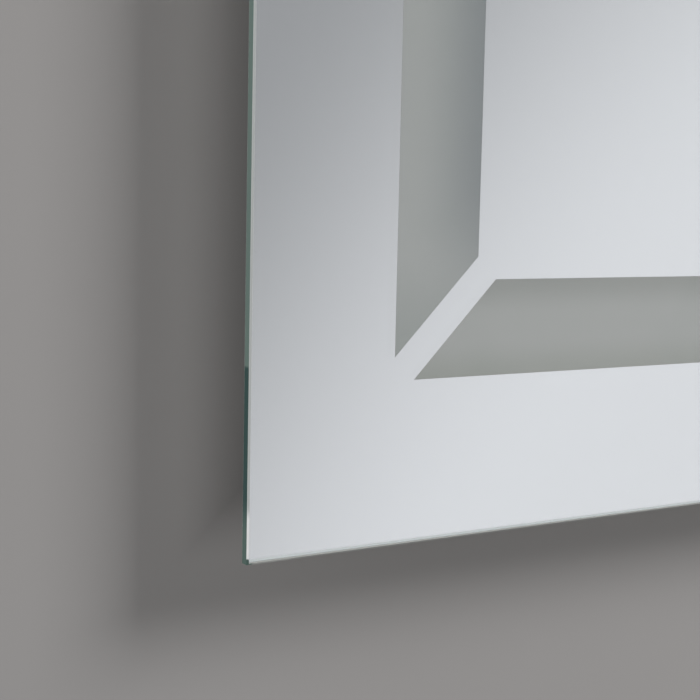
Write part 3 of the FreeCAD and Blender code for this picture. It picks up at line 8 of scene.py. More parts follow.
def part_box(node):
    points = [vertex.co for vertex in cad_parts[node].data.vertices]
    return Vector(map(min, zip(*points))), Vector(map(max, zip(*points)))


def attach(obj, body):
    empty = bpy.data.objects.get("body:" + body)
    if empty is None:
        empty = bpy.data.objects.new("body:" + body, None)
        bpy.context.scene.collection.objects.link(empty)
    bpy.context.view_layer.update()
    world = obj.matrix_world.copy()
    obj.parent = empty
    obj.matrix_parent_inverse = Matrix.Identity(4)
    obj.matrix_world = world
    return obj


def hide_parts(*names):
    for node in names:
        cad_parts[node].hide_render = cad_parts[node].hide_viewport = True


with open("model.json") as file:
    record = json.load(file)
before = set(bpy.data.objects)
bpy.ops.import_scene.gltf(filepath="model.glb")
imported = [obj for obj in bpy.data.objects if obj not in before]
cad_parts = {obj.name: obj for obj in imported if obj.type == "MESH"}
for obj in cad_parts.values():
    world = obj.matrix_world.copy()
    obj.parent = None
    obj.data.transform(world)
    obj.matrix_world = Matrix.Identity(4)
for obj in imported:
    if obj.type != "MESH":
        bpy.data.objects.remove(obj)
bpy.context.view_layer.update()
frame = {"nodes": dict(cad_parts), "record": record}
nodes = frame["nodes"]
slot_of = {part["node"]: part["material_slot"] for part in frame["record"]["subparts"]}

# ---------------------------------------------------------------- sizes, in metres
PANE_LOW, PANE_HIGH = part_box("mirror_glass")
PANE_CENTRE = (PANE_LOW + PANE_HIGH) / 2
HALF_WIDTH = (PANE_HIGH.x - PANE_LOW.x) / 2
HALF_HEIGHT = (PANE_HIGH.z - PANE_LOW.z) / 2
FRONT_ARRIS = 0.00075         # ground corner round the pane's face
BACK_ARRIS = 0.0002
ARRIS_EASE = 0.00006          # how far an arris's own corners are eased
SILVER_GAP = 0.00003          # keeps the pane's back off the coating behind it

WINDOW_LOW, WINDOW_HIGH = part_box("light_diffuser_left")
BAND_START = WINDOW_LOW.x - PANE_LOW.x        # from the pane's edge in to a frosted band
BAND_WIDTH = WINDOW_HIGH.x - WINDOW_LOW.x
BAND_TIP = WINDOW_LOW.z - PANE_LOW.z          # from the pane's corner along to where a band begins

WALL_GAP = 0.001              # keeps the wall off the back of the rail
WALL_WIDTH = 3.0
WALL_TOP = 1.4
FLOOR_LEVEL = -1.1
FLOOR_WIDTH = 10.0

# ---------------------------------------------------------------- camera
CAMERA_PLACE = (-0.57590, -0.56640, -0.46404)
CAMERA_HEADING = 32.100       # degrees from +Y towards +X
CAMERA_TILT = -6.126          # degrees above level
CAMERA_ROLL = 1.196
CAMERA_LENS = 72.517          # in millimetres, as is the sensor's width
SENSOR_WIDTH = 36


def place_camera():
    data = bpy.data.cameras.new("camera")
    data.lens = CAMERA_LENS
    data.sensor_width = SENSOR_WIDTH
    data.clip_start = 0.01
    data.clip_end = 50
    camera = bpy.data.objects.new("camera", data)
    heading = Matrix.Rotation(math.radians(-CAMERA_HEADING), 4, "Z")
    tilt = Matrix.Rotation(math.radians(90 + CAMERA_TILT), 4, "X")
    roll = Matrix.Rotation(math.radians(CAMERA_ROLL), 4, "Z")
    camera.matrix_world = Matrix.Translation(CAMERA_PLACE) @ heading @ tilt @ roll
    bpy.context.scene.collection.objects.link(camera)
    bpy.context.scene.camera = camera


# ---------------------------------------------------------------- laying a finish's nodes
class Term:
    """A value that changes over a surface. Python's operators on it add Math nodes."""

    def __init__(self, tree, socket):
        self.tree = tree
        self.socket = socket

    def maths(self, operation, *values):
        """A Math node on these values, or on this Term alone."""
        node = self.tree.nodes.new("ShaderNodeMath")
        node.operation = operation
        for place, value in zip(node.inputs, values or (self,)):
            plug(self.tree, place, value)
        return Term(self.tree, node.outputs[0])

    def __add__(self, other):
        return self.maths("ADD", self, other)

    def __radd__(self, other):
        return self.maths("ADD", other, self)

    def __sub__(self, other):
        return self.maths("SUBTRACT", self, other)

    def __rsub__(self, other):
        return self.maths("SUBTRACT", other, self)

    def __mul__(self, other):
        return self.maths("MULTIPLY", self, other)

    def __rmul__(self, other):
        return self.maths("MULTIPLY", other, self)

    def __truediv__(self, other):
        return self.maths("DIVIDE", self, other)

    def __rtruediv__(self, other):
        return self.maths("DIVIDE", other, self)

    def __abs__(self):
        return self.maths("ABSOLUTE", self)

    def larger(self, other):
        return self.maths("MAXIMUM", self, other)

    def smaller(self, other):
        return self.maths("MINIMUM", self, other)


def plug(tree, place, value):
    """Sets a node's socket, or links it where the value is a Term."""
    if isinstance(value, Term):
        tree.links.new(value.socket, place)
    elif place.type == "RGBA" and len(value) == 3:
        place.default_value = (*value, 1.0)
    else:
        place.default_value = value


def socket_named(sockets, name):
    """A node's socket by its number, its identifier or its name."""
    if isinstance(name, int):
        return sockets[name]
    for socket in sockets:
        if socket.identifier == name:
            return socket
    return sockets[name]


WAVE_PACE = 20     # radians that a Wave Texture's bands run through in a metre, at a scale of 1


class Finish:
    """The nodes of one finish, laid one by one."""

    def __init__(self, tree):
        self.tree = tree
        tree.nodes.clear()

    def node(self, kind, settings=None, sockets=None, output=0):
        """Lays a node: its settings first, then the values or links of its sockets."""
        laid = self.tree.nodes.new("ShaderNode" + kind)
        for name, value in (settings or {}).items():
            setattr(laid, name, value)
        for name, value in (sockets or {}).items():
            plug(self.tree, socket_named(laid.inputs, name), value)
        if laid.outputs:
            return Term(self.tree, socket_named(laid.outputs, output))

    def place(self, squeeze=(1, 1, 1)):
        """Where a point is on the object. A squeeze above 1 crowds a pattern along its axis, and one below
        1 draws it out."""
        where = self.node("TexCoord", output="Object")
        return self.node("Mapping", {}, {"Vector": where, "Scale": squeeze})

    def split(self, vector):
        """A vector's x, y and z."""
        laid = self.node("SeparateXYZ", {}, {"Vector": vector}).socket.node
        return [Term(self.tree, socket) for socket in laid.outputs]

    def axes(self):
        """The x, y and z of a point on the object."""
        return self.split(self.node("TexCoord", output="Object"))

    def noise(self, scale, detail=2.0, squeeze=(1, 1, 1)):
        """Soft spots at random, about scale of them to a metre."""
        sockets = {"Vector": self.place(squeeze), "Scale": scale, "Detail": detail}
        return self.node("TexNoise", {}, sockets)

    def wave(self, direction, width):
        """Bands that repeat after width. DIAGONAL ones repeat after twice that along an axis."""
        scale = 2 * math.pi / (WAVE_PACE * width)
        settings = {"bands_direction": direction}
        return self.node("TexWave", settings, {"Vector": self.place(), "Scale": scale}, "Fac")

    def step(self, value, start, end, low=0.0, high=1.0):
        """Goes smoothly from low to high as value goes from start to end."""
        sockets = {"Value": value, "From Min": start, "From Max": end, "To Min": low, "To Max": high}
        return self.node("MapRange", {"interpolation_type": "SMOOTHSTEP"}, sockets)

    def mix(self, colour, other, share, blend="MIX"):
        """A colour with a share of another mixed in."""
        settings = {"data_type": "RGBA", "blend_type": blend}
        sockets = {"Factor_Float": share, "A_Color": colour, "B_Color": other}
        return self.node("Mix", settings, sockets, "Result_Color")

    def bump(self, height, depth):
        return self.node("Bump", {}, {"Height": height, "Distance": depth})

    def skin(self, **sockets):
        """The shader that most finishes end in. An underscore in a socket's name stands for a space."""
        named = {name.replace("_", " "): value for name, value in sockets.items()}
        return self.node("BsdfPrincipled", {}, named)

    def end(self, shader):
        self.node("OutputMaterial", {}, {"Surface": shader})


def new_finish(name):
    material = bpy.data.materials.new(name)
    material.use_nodes = True
    return material, Finish(material.node_tree)


# ---------------------------------------------------------------- distances on the pane
def inward_distance(finish):
    """From the nearest edge of the pane to a point, along its face."""
    x, _, z = finish.axes()
    return (HALF_WIDTH - abs(x - PANE_CENTRE.x)).smaller(HALF_HEIGHT - abs(z - PANE_CENTRE.z))


def corner_distance(finish):
    """From the nearest corner of the pane to a point on its edge."""
    x, _, z = finish.axes()
    return (HALF_WIDTH - abs(x - PANE_CENTRE.x)).larger(HALF_HEIGHT - abs(z - PANE_CENTRE.z))


# ---------------------------------------------------------------- glass and silver
# Tones are the two colours that a finish drifts between.
GLASS_TONES = (0.972, 0.992, 0.984), (0.978, 0.994, 0.988)
GLASS_IOR = 1.52
GLASS_FILTER = (0.93, 0.96, 0.945)     # share of light that passes where the pane acts as a film
SILVER_TONES = (0.925, 0.938, 0.936), (0.935, 0.944, 0.944)


def float_glass():
    """Clear glass, which shadow rays and diffuse rays pass as they would a tinted film."""
    material, glass = new_finish("float_glass")
    tint = glass.mix(*GLASS_TONES, glass.noise(6.0, detail=1.0))
    pane = glass.skin(Base_Color=tint, Roughness=0.0, IOR=GLASS_IOR, Transmission_Weight=1.0)
    film = glass.node("BsdfTransparent", {}, {"Color": GLASS_FILTER})
    shadow = glass.node("LightPath", output="Is Shadow Ray")
    diffuse = glass.node("LightPath", output="Is Diffuse Ray")
    glass.end(glass.node("MixShader", {}, {0: shadow.larger(diffuse), 1: pane, 2: film}))
    return material


def silvering():
    material, silver = new_finish("silver_face")
    cloud = silver.noise(3.0, detail=1.0)
    colour = silver.mix(*SILVER_TONES, cloud)
    silver.end(silver.skin(Base_Color=colour, Metallic=1.0, Roughness=0.002 + 0.003 * cloud))
    return material


# ---------------------------------------------------------------- the pane's edge
EDGE_DARK = (0.023, 0.071, 0.066)
# painted light: the edge's green, lighter near a corner
EDGE_PAINTED_CORNER_LIGHT = (0.097, 0.161, 0.139)
EDGE_PAINTED_BAND_LIGHT = (0.155, 0.222, 0.197)     # painted light beside a frosted band
EDGE_FRONT_TINT = (0.80, 1.0, 0.93)
EDGE_STREAK_TINT = (0.86, 0.90, 0.88)
EDGE_WITHIN = (0.70, 0.72, 0.71)       # the edge as it shows through the glass
PAINTED_CORNER_LIGHT_REACH = (0.012, 0.030)            # from a corner: where its painted lighter stretch begins to fade, and ends
PAINTED_BAND_LIGHT_REACH = (0.0016, 0.0004)          # short of a band's tip: where EDGE_PAINTED_BAND_LIGHT begins, and is whole

ARRIS_PLAIN = (0.79, 0.82, 0.81)
ARRIS_PAINTED_GLINT = (0.93, 0.96, 0.95)       # painted glint along the arris's outer side
# painted highlight on the arris near the pane's corners
ARRIS_PAINTED_HIGHLIGHT = (1.0, 1.0, 1.0)
ARRIS_FOOT_PAINTED_SHADE = (0.36, 0.36, 0.35)        # painted shade under the pane, where it faces the floor
ARRIS_GRIND_TINT = (0.88, 0.90, 0.89)
ARRIS_WITHIN = (0.79, 0.79, 0.81)      # the front arris as it shows through the glass
BACK_ARRIS_WITHIN = (0.50, 0.50, 0.48)
ARRIS_PAINTED_GLOW = (0.345, 0.355, 0.36)  # painted glow, standing in for light that the front arris gathers and shows through the glass
BACK_ARRIS_PAINTED_GLOW = (0.0, 0.0, 0.0)
ARRIS_PAINTED_HIGHLIGHT_REACH = (0.019, 0.026)      # from a corner: where the painted highlight begins to fade, and ends
ARRIS_GREEN_CORNER = (0.0022, 0.0030)  # and the same for the painted green corner light


def end_at_pane_edge(finish, skin, inside):
    """Ends an edge's finish: skin on its outer side, and inside where the glass shows its inner side."""
    facing_away = finish.node("NewGeometry", output="Backfacing")
    finish.end(finish.node("MixShader", {}, {0: facing_away, 1: skin, 2: inside}))


def polished_edge():
    """Green depth of the glass, seen at its edge, with painted light that makes it lighter beside a
    frosted band and near a corner.
    """
    material, edge = new_finish("polished_edge")
    along = corner_distance(edge)
    # painted light: the edge lighter near a corner and beside a band's tip
    painted_corner_light = edge.step(along, *PAINTED_CORNER_LIGHT_REACH, 1.0, 0.0)
    painted_band_light = edge.step(along, *[BAND_TIP - short for short in PAINTED_BAND_LIGHT_REACH])
    colour = edge.mix(EDGE_DARK, EDGE_PAINTED_CORNER_LIGHT, painted_corner_light)
    colour = edge.mix(colour, EDGE_PAINTED_BAND_LIGHT, painted_band_light)
    _, y, _ = edge.axes()
    towards_front = edge.step(y, PANE_HIGH.y, PANE_LOW.y)
    colour = edge.mix(colour, EDGE_FRONT_TINT, 0.30 * towards_front, "MULTIPLY")
    streak = edge.noise(220.0, squeeze=(1, 6, 1))
    colour = edge.mix(colour, EDGE_STREAK_TINT, 0.5 * streak, "MULTIPLY")
    skin = edge.skin(Base_Color=colour, Roughness=0.08 + 0.06 * streak, Specular_IOR_Level=0.15)
    inside = edge.skin(Base_Color=EDGE_WITHIN, Metallic=1.0, Roughness=0.02)
    end_at_pane_edge(edge, skin, inside)
    return material


def ground_arris():
    """The narrow ground corner: a pale line with a painted glint along its outer side, a painted highlight
    near the pane's corners, painted green corner light right at them, painted shade at the foot, and a
    painted glow seen from inside.
    """
    material, arris = new_finish("ground_arris")
    along = corner_distance(arris)
    _, y, z = arris.axes()
    # the arris's outer side, which gets a painted glint
    outer = arris.step(y, PANE_LOW.y + 0.5 * FRONT_ARRIS, PANE_LOW.y + FRONT_ARRIS)
    painted_corner_light = arris.step(along, *ARRIS_PAINTED_HIGHLIGHT_REACH, 1.0, 0.0)
    # the foot, which gets painted shade
    foot = arris.step(z, PANE_LOW.z + 2 * FRONT_ARRIS, PANE_LOW.z + FRONT_ARRIS)
    at_corner = arris.step(along, *ARRIS_GREEN_CORNER, 1.0, 0.0)
    # painted glint, painted highlight near corners, painted shade at the foot, painted corner light right
    # at the corner
    colour = arris.mix(ARRIS_PLAIN, ARRIS_PAINTED_GLINT, outer)
    colour = arris.mix(colour, ARRIS_PAINTED_HIGHLIGHT, painted_corner_light)
    colour = arris.mix(colour, ARRIS_FOOT_PAINTED_SHADE, foot)
    colour = arris.mix(colour, EDGE_PAINTED_CORNER_LIGHT, at_corner)
    grind = arris.noise(700.0)
    colour = arris.mix(colour, ARRIS_GRIND_TINT, 0.6 * grind, "MULTIPLY")
    shine = 0.85 * (painted_corner_light - at_corner)
    rough = 0.30 + 0.15 * grind
    skin = arris.skin(Base_Color=colour, Metallic=shine, Roughness=rough, Specular_IOR_Level=0.25)
    at_back = arris.step(y, PANE_CENTRE.y - FRONT_ARRIS, PANE_CENTRE.y + FRONT_ARRIS)
    within = arris.mix(ARRIS_WITHIN, BACK_ARRIS_WITHIN, at_back)
    painted_glow = arris.mix(ARRIS_PAINTED_GLOW, BACK_ARRIS_PAINTED_GLOW, at_back)
    # the inside gives off a painted glow, though it is no lamp
    inside = arris.skin(
        Base_Color=within,
        Roughness=0.45,
        Specular_IOR_Level=0.2,
        Emission_Color=painted_glow,
        Emission_Strength=1.0,
    )
    end_at_pane_edge(arris, skin, inside)
    return material


# ---------------------------------------------------------------- the frosted bands
BAND_OUTER = (0.437, 0.422, 0.428)     # an upright band's outer side, before its painted shade
# painted shade on an upright band's inner side
BAND_INNER_PAINTED_SHADE = (0.258, 0.263, 0.281)
BAND_SHADE = (0.12, 1.15)              # shares of its width over which painted shade darkens its inner side
BAND_SHADE_FADE = (0.003, 0.085)       # from the band's tip: where that painted shade begins, and is whole
# painted shade at an upright band's tips, and the reach from the tip over which it fades
BAND_TIP_PAINTED_SHADE = (0.84, 0.865, 0.855)
BAND_TIP_FADE = (0.004, 0.045)
BAND_MIDDLE = (0.433, 0.415, 0.418)    # a level band, along its middle
# painted shade along a level band's outer and inner rims
BAND_RIM_OUTER_PAINTED_SHADE = (0.370, 0.360, 0.348)
BAND_RIM_INNER_PAINTED_SHADE = (0.338, 0.326, 0.323)
BAND_MIDDLE_REACH = (0.38, 0.62)       # shares of its width between which it is palest
BAND_CLOUD_TINT = (0.95, 0.96, 0.955)
BAND_GRAIN_TINT = (0.90, 0.90, 0.90)


def frosted_band(name, shade):
    """Fine etched white over an unlit tray, with painted shade across the band for the tray's soft
    shading.
    """
    material, band = new_finish(name)
    across = (inward_distance(band) - BAND_START) / BAND_WIDTH
    colour = shade(band, across)
    cloud = band.noise(14.0)
    colour = band.mix(colour, BAND_CLOUD_TINT, band.step(cloud, 0.50, 0.75), "MULTIPLY")
    grain = band.noise(2600.0)
    specks = 0.35 * band.step(grain, 0.35, 0.65)
    colour = band.mix(colour, BAND_GRAIN_TINT, specks, "MULTIPLY")
    normal = band.bump(grain, depth=0.00002)
    band.end(band.skin(Base_Color=colour, Roughness=0.55 + 0.15 * grain, Normal=normal))
    return material


def painted_shade_to_inner_side(band, across):
    """An upright band: painted shade darkens it inwards, less so towards its ends, and a little at its
    very tips.
    """
    from_tip = corner_distance(band) - BAND_TIP
    shade = band.step(across, *BAND_SHADE) * band.step(from_tip, *BAND_SHADE_FADE)
    colour = band.mix(BAND_OUTER, BAND_INNER_PAINTED_SHADE, shade)
    near_tip = band.step(from_tip, *BAND_TIP_FADE, 1.0, 0.0)
    return band.mix(colour, BAND_TIP_PAINTED_SHADE, near_tip, "MULTIPLY")


def painted_shade_to_both_sides(band, across):
    """A level band: palest along its middle, with painted shade towards both rims."""
    middle_start, middle_end = BAND_MIDDLE_REACH
    colour = band.mix(BAND_MIDDLE, BAND_RIM_OUTER_PAINTED_SHADE, band.step(across, middle_start, 0.0))
    return band.mix(colour, BAND_RIM_INNER_PAINTED_SHADE, band.step(across, middle_end, 1.0))


# ---------------------------------------------------------------- film and foam tape
FILM_THREAD = 0.0012
FILM_TONES = (0.74, 0.745, 0.73), (0.80, 0.80, 0.785)
FILM_WEAVE_TINT = (0.90, 0.90, 0.90)
FOAM_TONES = (0.66, 0.66, 0.645), (0.76, 0.76, 0.75)


def woven_film():
    """Splinter film: a fine weave pressed into white plastic."""
    material, film = new_finish("woven_film")
    weave = film.wave("X", FILM_THREAD) * film.wave("Z", FILM_THREAD)
    colour = film.mix(*FILM_TONES, film.noise(9.0, detail=3.0))
    colour = film.mix(colour, FILM_WEAVE_TINT, 0.5 * (1 - weave), "MULTIPLY")
    normal = film.bump(weave, depth=0.00006)
    film.end(film.skin(Base_Color=colour, Roughness=0.38 + 0.18 * weave, Normal=normal))
    return material


def foam_tape():
    material, foam = new_finish("foam_tape")
    cell = foam.node("TexVoronoi", {}, {"Vector": foam.place(), "Scale": 3500.0}, "Distance")
    colour = foam.mix(*FOAM_TONES, cell)
    foam.end(foam.skin(Base_Color=colour, Roughness=0.85, Normal=foam.bump(cell, depth=0.0001)))
    return material


# ---------------------------------------------------------------- metals
ALUMINIUM_TONES = (0.665, 0.67, 0.678), (0.755, 0.76, 0.767)
DRAWN_OUT = 0.004                      # squeeze of the lines that drawing leaves, along the profile
SHEET_ZINC_TONES = (0.60, 0.61, 0.625), (0.67, 0.665, 0.645)
SHEET_ROLLED_TINT = (0.86, 0.86, 0.86)
FASTENER_ZINC_TONES = (0.60, 0.62, 0.65), (0.72, 0.71, 0.68)
BRASS_TONES = (0.70, 0.54, 0.25), (0.80, 0.66, 0.36)


def anodised_frame(name, length_axis):
    """Satin anodised aluminium, with drawn lines along the profile."""
    material, metal = new_finish(name)
    squeeze = [1.0, 1.0, 1.0]
    squeeze[length_axis] = DRAWN_OUT
    line = metal.noise(2600.0, detail=3.0, squeeze=squeeze)
    cloud = metal.noise(12.0)
    colour = metal.mix(*ALUMINIUM_TONES, 0.5 * line + 0.5 * cloud)
    rough = 0.30 + 0.10 * line + 0.06 * cloud
    normal = metal.bump(line, depth=0.000012)
    metal.end(metal.skin(Base_Color=colour, Metallic=1.0, Roughness=rough, Normal=normal))
    return material


def zinc_plate():
    """Bright zinc on sheet steel, a shade bluer or yellower in patches, rolled along its length."""
    material, zinc = new_finish("zinc_plate")
    roll = zinc.noise(1400.0, detail=3.0, squeeze=(0.01, 1, 1))
    patch = zinc.noise(28.0, detail=3.0)
    colour = zinc.mix(*SHEET_ZINC_TONES, zinc.step(patch, 0.35, 0.65))
    colour = zinc.mix(colour, SHEET_ROLLED_TINT, 0.4 * roll, "MULTIPLY")
    rough = 0.27 + 0.14 * patch + 0.06 * roll
    normal = zinc.bump(roll, depth=0.00001)
    zinc.end(zinc.skin(Base_Color=colour, Metallic=1.0, Roughness=rough, Normal=normal))
    return material


def fastener_zinc():
    material, zinc = new_finish("fastener_zinc")
    patch = zinc.noise(160.0, detail=3.0)
    fine = zinc.noise(4200.0)
    colour = zinc.mix(*FASTENER_ZINC_TONES, patch)
    rough = 0.24 + 0.14 * patch + 0.05 * fine
    normal = zinc.bump(fine, depth=0.000008)
    zinc.end(zinc.skin(Base_Color=colour, Metallic=1.0, Roughness=rough, Normal=normal))
    return material


def terminal_brass():
    material, brass = new_finish("terminal_brass")
    patch = brass.noise(240.0, detail=3.0)
    colour = brass.mix(*BRASS_TONES, patch)
    brass.end(brass.skin(Base_Color=colour, Metallic=1.0, Roughness=0.26 + 0.18 * patch))
    return material


# ---------------------------------------------------------------- paints, plastics and rubber
PANEL_TONES = (0.75, 0.75, 0.735), (0.80, 0.80, 0.785)
TRAY_TONES = (0.85, 0.85, 0.84), (0.89, 0.89, 0.875)
LED_BAR_TONES = (0.82, 0.82, 0.80), (0.87, 0.87, 0.85)
CASE_TONES = (0.79, 0.79, 0.77), (0.84, 0.84, 0.82)
ROCKER_TONES = (0.83, 0.83, 0.82), (0.87, 0.87, 0.855)
PHOSPHOR_TONES = (0.80, 0.60, 0.14), (0.90, 0.76, 0.30)
BOARD_TONES = (0.035, 0.20, 0.075), (0.085, 0.33, 0.145)
RUBBER_TONES = (0.030, 0.030, 0.031), (0.060, 0.060, 0.061)
WHITE_SHEATH_TONES = (0.84, 0.84, 0.82), (0.79, 0.79, 0.77)
BROWN_SHEATH_TONES = (0.22, 0.10, 0.05), (0.28, 0.135, 0.07)
EARTH_SHEATH_TONES = (0.09, 0.36, 0.10), (0.78, 0.70, 0.08)
EARTH_STRIPE = 0.005                   # width of a stripe along an earth lead
PANEL_PEEL = 0.0011                    # size of the orange peel in a sheet's paint
TRAY_PEEL = 0.0020
LED_BAR_PEEL = 0.0008
PEEL_SHALLOWNESS = 25                  # how many times wider than deep an orange peel is


def painted_sheet(name, tones, peel, rough):
    """Paint on sheet metal, with an orange peel."""
    material, paint = new_finish(name)
    dimple = paint.noise(1 / peel, detail=1.5)
    colour = paint.mix(*tones, paint.noise(7.0, detail=3.0))
    normal = paint.bump(dimple, depth=peel / PEEL_SHALLOWNESS)
    paint.end(paint.skin(Base_Color=colour, Roughness=rough + 0.10 * dimple, Normal=normal))
    return material


def moulded_plastic(name, tones, rough, coat=0.0):
    """Injection moulded: a fine spark-eroded skin, and slow drifts of tone."""
    material, plastic = new_finish(name)
    colour = plastic.mix(*tones, plastic.noise(22.0))
    erosion = plastic.noise(2400.0)
    rough = rough + 0.12 * erosion
    normal = plastic.bump(erosion, depth=0.00002)
    plastic.end(plastic.skin(Base_Color=colour, Roughness=rough, Coat_Weight=coat, Normal=normal))
    return material


def led_phosphor():
    """Yellow phosphor over the chip in a white case, seen from the front."""
    material, led = new_finish("led_lens")
    speck = led.noise(5200.0)
    colour = led.mix(*PHOSPHOR_TONES, speck)
    led.end(led.skin(Base_Color=colour, Roughness=0.30 + 0.1 * speck, Coat_Weight=0.5))
    return material


def circuit_board():
    """Green lacquer with the darker tracks that show through it."""
    material, board = new_finish("circuit_lacquer")
    sockets = {"Vector": board.place(), "Scale": 260.0}
    track = board.node("TexVoronoi", {"distance": "CHEBYCHEV"}, sockets, "Distance")
    colour = board.mix(*BOARD_TONES, board.step(track, 0.30, 0.36))
    speck = board.noise(900.0)
    board.end(board.skin(Base_Color=colour, Roughness=0.28 + 0.14 * speck, Coat_Weight=0.3))
    return material


def moulded_rubber():
    material, rubber = new_finish("moulded_rubber")
    colour = rubber.mix(*RUBBER_TONES, rubber.noise(60.0, detail=3.0))
    pore = rubber.noise(1800.0)
    normal = rubber.bump(pore, depth=0.00003)
    rubber.end(rubber.skin(Base_Color=colour, Roughness=0.62 + 0.2 * pore, Normal=normal))
    return material


def wire_sheath(name, tones, stripe=None):
    """Insulation of a lead: of one colour, or with slanting stripes of this width."""
    material, sheath = new_finish(name)
    gloss = sheath.noise(500.0)
    share = sheath.step(sheath.wave("DIAGONAL", stripe), 0.45, 0.55) if stripe else gloss
    colour = sheath.mix(*tones, share)
    sheath.end(sheath.skin(Base_Color=colour, Roughness=0.34 + 0.14 * gloss))
    return material


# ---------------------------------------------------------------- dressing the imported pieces
def dress_nodes():
    finish_of_slot = {
        "silvering": silvering(),
        "film_white": woven_film(),
        "tape_foam": foam_tape(),
        "panel_white": painted_sheet("panel_powder", PANEL_TONES, PANEL_PEEL, rough=0.36),
        "tray_white": painted_sheet("tray_gloss", TRAY_TONES, TRAY_PEEL, rough=0.16),
        "bar_white": painted_sheet("bar_solder_mask", LED_BAR_TONES, LED_BAR_PEEL, rough=0.28),
        "led_phosphor": led_phosphor(),
        "zinc_steel": zinc_plate(),
        "fastener_steel": fastener_zinc(),
        "plastic_white": moulded_plastic("moulded_case", CASE_TONES, rough=0.40),
        "rocker_white": moulded_plastic("rocker_gloss", ROCKER_TONES, rough=0.14, coat=0.4),
        "board_green": circuit_board(),
        "brass_terminal": terminal_brass(),
        "rubber_black": moulded_rubber(),
        "lead_white": wire_sheath("sheath_white", WHITE_SHEATH_TONES),
        "lead_brown": wire_sheath("sheath_brown", BROWN_SHEATH_TONES),
        "lead_green": wire_sheath("sheath_green", EARTH_SHEATH_TONES, EARTH_STRIPE),
    }
    upright_frame = anodised_frame("anodised_upright", length_axis=2)
    level_frame = anodised_frame("anodised_level", length_axis=0)
    upright_band = frosted_band("frosted_upright", painted_shade_to_inner_side)
    level_band = frosted_band("frosted_level", painted_shade_to_both_sides)
    finish_of_node = {
        "frame_left": upright_frame,
        "frame_right": upright_frame,
        "frame_top": level_frame,
        "frame_bottom": level_frame,
        "light_diffuser_left": upright_band,
        "light_diffuser_right": upright_band,
        "light_diffuser_top": level_band,
        "light_diffuser_bottom": level_band,
    }
    for name, node in nodes.items():
        if name == "mirror_glass":
            continue
        for material_slot in node.material_slots:
            material_slot.material = finish_of_node.get(name) or finish_of_slot[slot_of[name]]


# ---------------------------------------------------------------- the glass pane
SAME_LEVEL = 0.00001          # points closer than this are level with each other
EASED_ANGLE = 20              # degrees: corners of the pane sharper than this are eased
SMOOTH_ANGLE = 12             # degrees: corners flatter than this are shaded smooth
FACE_NORMAL = 0.999           # how much of a normal lies along y, at least, on the pane's faces
EDGE_NORMAL = 0.1             # and at most, on its polished edge. The arrises are in between


def deselect_all():
    bpy.ops.object.select_all(action="DESELECT")


def pick_edges(mesh, level):
    """Selects the edges, out of edit mode, whose two ends have this y."""
    for polygon in mesh.polygons:
        polygon.select = False
    for vertex in mesh.vertices:
        vertex.select = False
    for edge in mesh.edges:
        ends = [mesh.vertices[index].co.y for index in edge.vertices]
        edge.select = all(abs(end - level) < SAME_LEVEL for end in ends)


def dress_pane(mesh):
    """Gives the pane's faces, edge and arrises their own finishes."""
    for finish in (float_glass(), polished_edge(), ground_arris()):
        mesh.materials.append(finish)
    face, edge, arris = range(3)
    for polygon in mesh.polygons:
        along_y = abs(polygon.normal.y)
        if along_y > FACE_NORMAL:
            polygon.material_index = face
        elif along_y < EDGE_NORMAL:
            polygon.material_index = edge
        else:
            polygon.material_index = arris


def glass_pane():
    """The pane, with a ground arris all round its front and back."""
    deselect_all()
    size = PANE_HIGH - PANE_LOW
    size.y -= SILVER_GAP
    centre = PANE_CENTRE.copy()
    centre.y -= SILVER_GAP / 2
    bpy.ops.mesh.primitive_cube_add(size=1, location=centre, scale=size)
    pane = bpy.context.object
    pane.name = pane.data.name = "glass_pane"
    bpy.ops.object.transform_apply(location=True, rotation=True, scale=True)
    for width, level in ((FRONT_ARRIS, PANE_LOW.y), (BACK_ARRIS, PANE_HIGH.y - SILVER_GAP)):
        pick_edges(pane.data, level)
        bpy.ops.object.mode_set(mode="EDIT")
        bpy.ops.mesh.select_mode(type="EDGE")
        bpy.ops.mesh.bevel(offset=width, segments=1)
        bpy.ops.object.mode_set(mode="OBJECT")
    ease = pane.modifiers.new("eased corners", "BEVEL")
    ease.width = ARRIS_EASE
    ease.segments = 2
    ease.limit_method = "ANGLE"
    ease.angle_limit = math.radians(EASED_ANGLE)
    bpy.ops.object.modifier_apply(modifier=ease.name)
    bpy.ops.object.shade_smooth_by_angle(angle=math.radians(SMOOTH_ANGLE))
    dress_pane(pane.data)
    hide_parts("mirror_glass")
    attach(pane, "mirror")


# ---------------------------------------------------------------- wall and floor
WALL_COLOUR = (0.355, 0.343, 0.338)
WALL_CLOUD = 0.96                    # a cloud in the plaster, as a share of its colour
# painted shadow on the wall close behind the mirror
WALL_PAINTED_SHADOW = (0.45, 0.45, 0.45)
WALL_PAINTED_SHADOW_REACH = (-0.012, 0.030)   # in from the mirror's outline: where the painted shadow begins, and is whole
FLOOR_COLOUR = (0.80, 0.80, 0.79)
FLOOR_CLOUD = 0.97
FLOOR_FADE = (1.3, 4.0)              # from the middle: where it begins to fade into the air, and ends
AIR_COLOUR = (0.84, 0.84, 0.835)     # what a camera sees where nothing stands


def stage_sheet(name, centre, size, turn, finish):
    """A flat sheet of the stage. Unturned, it lies level and faces up."""
    deselect_all()
    bpy.ops.mesh.primitive_plane_add(size=1, location=centre, rotation=turn)
    sheet = bpy.context.object
    sheet.name = sheet.data.name = name
    sheet.scale = (*size, 1)
    bpy.ops.object.transform_apply(location=True, rotation=True, scale=True)
    sheet.data.materials.append(finish)
    return sheet


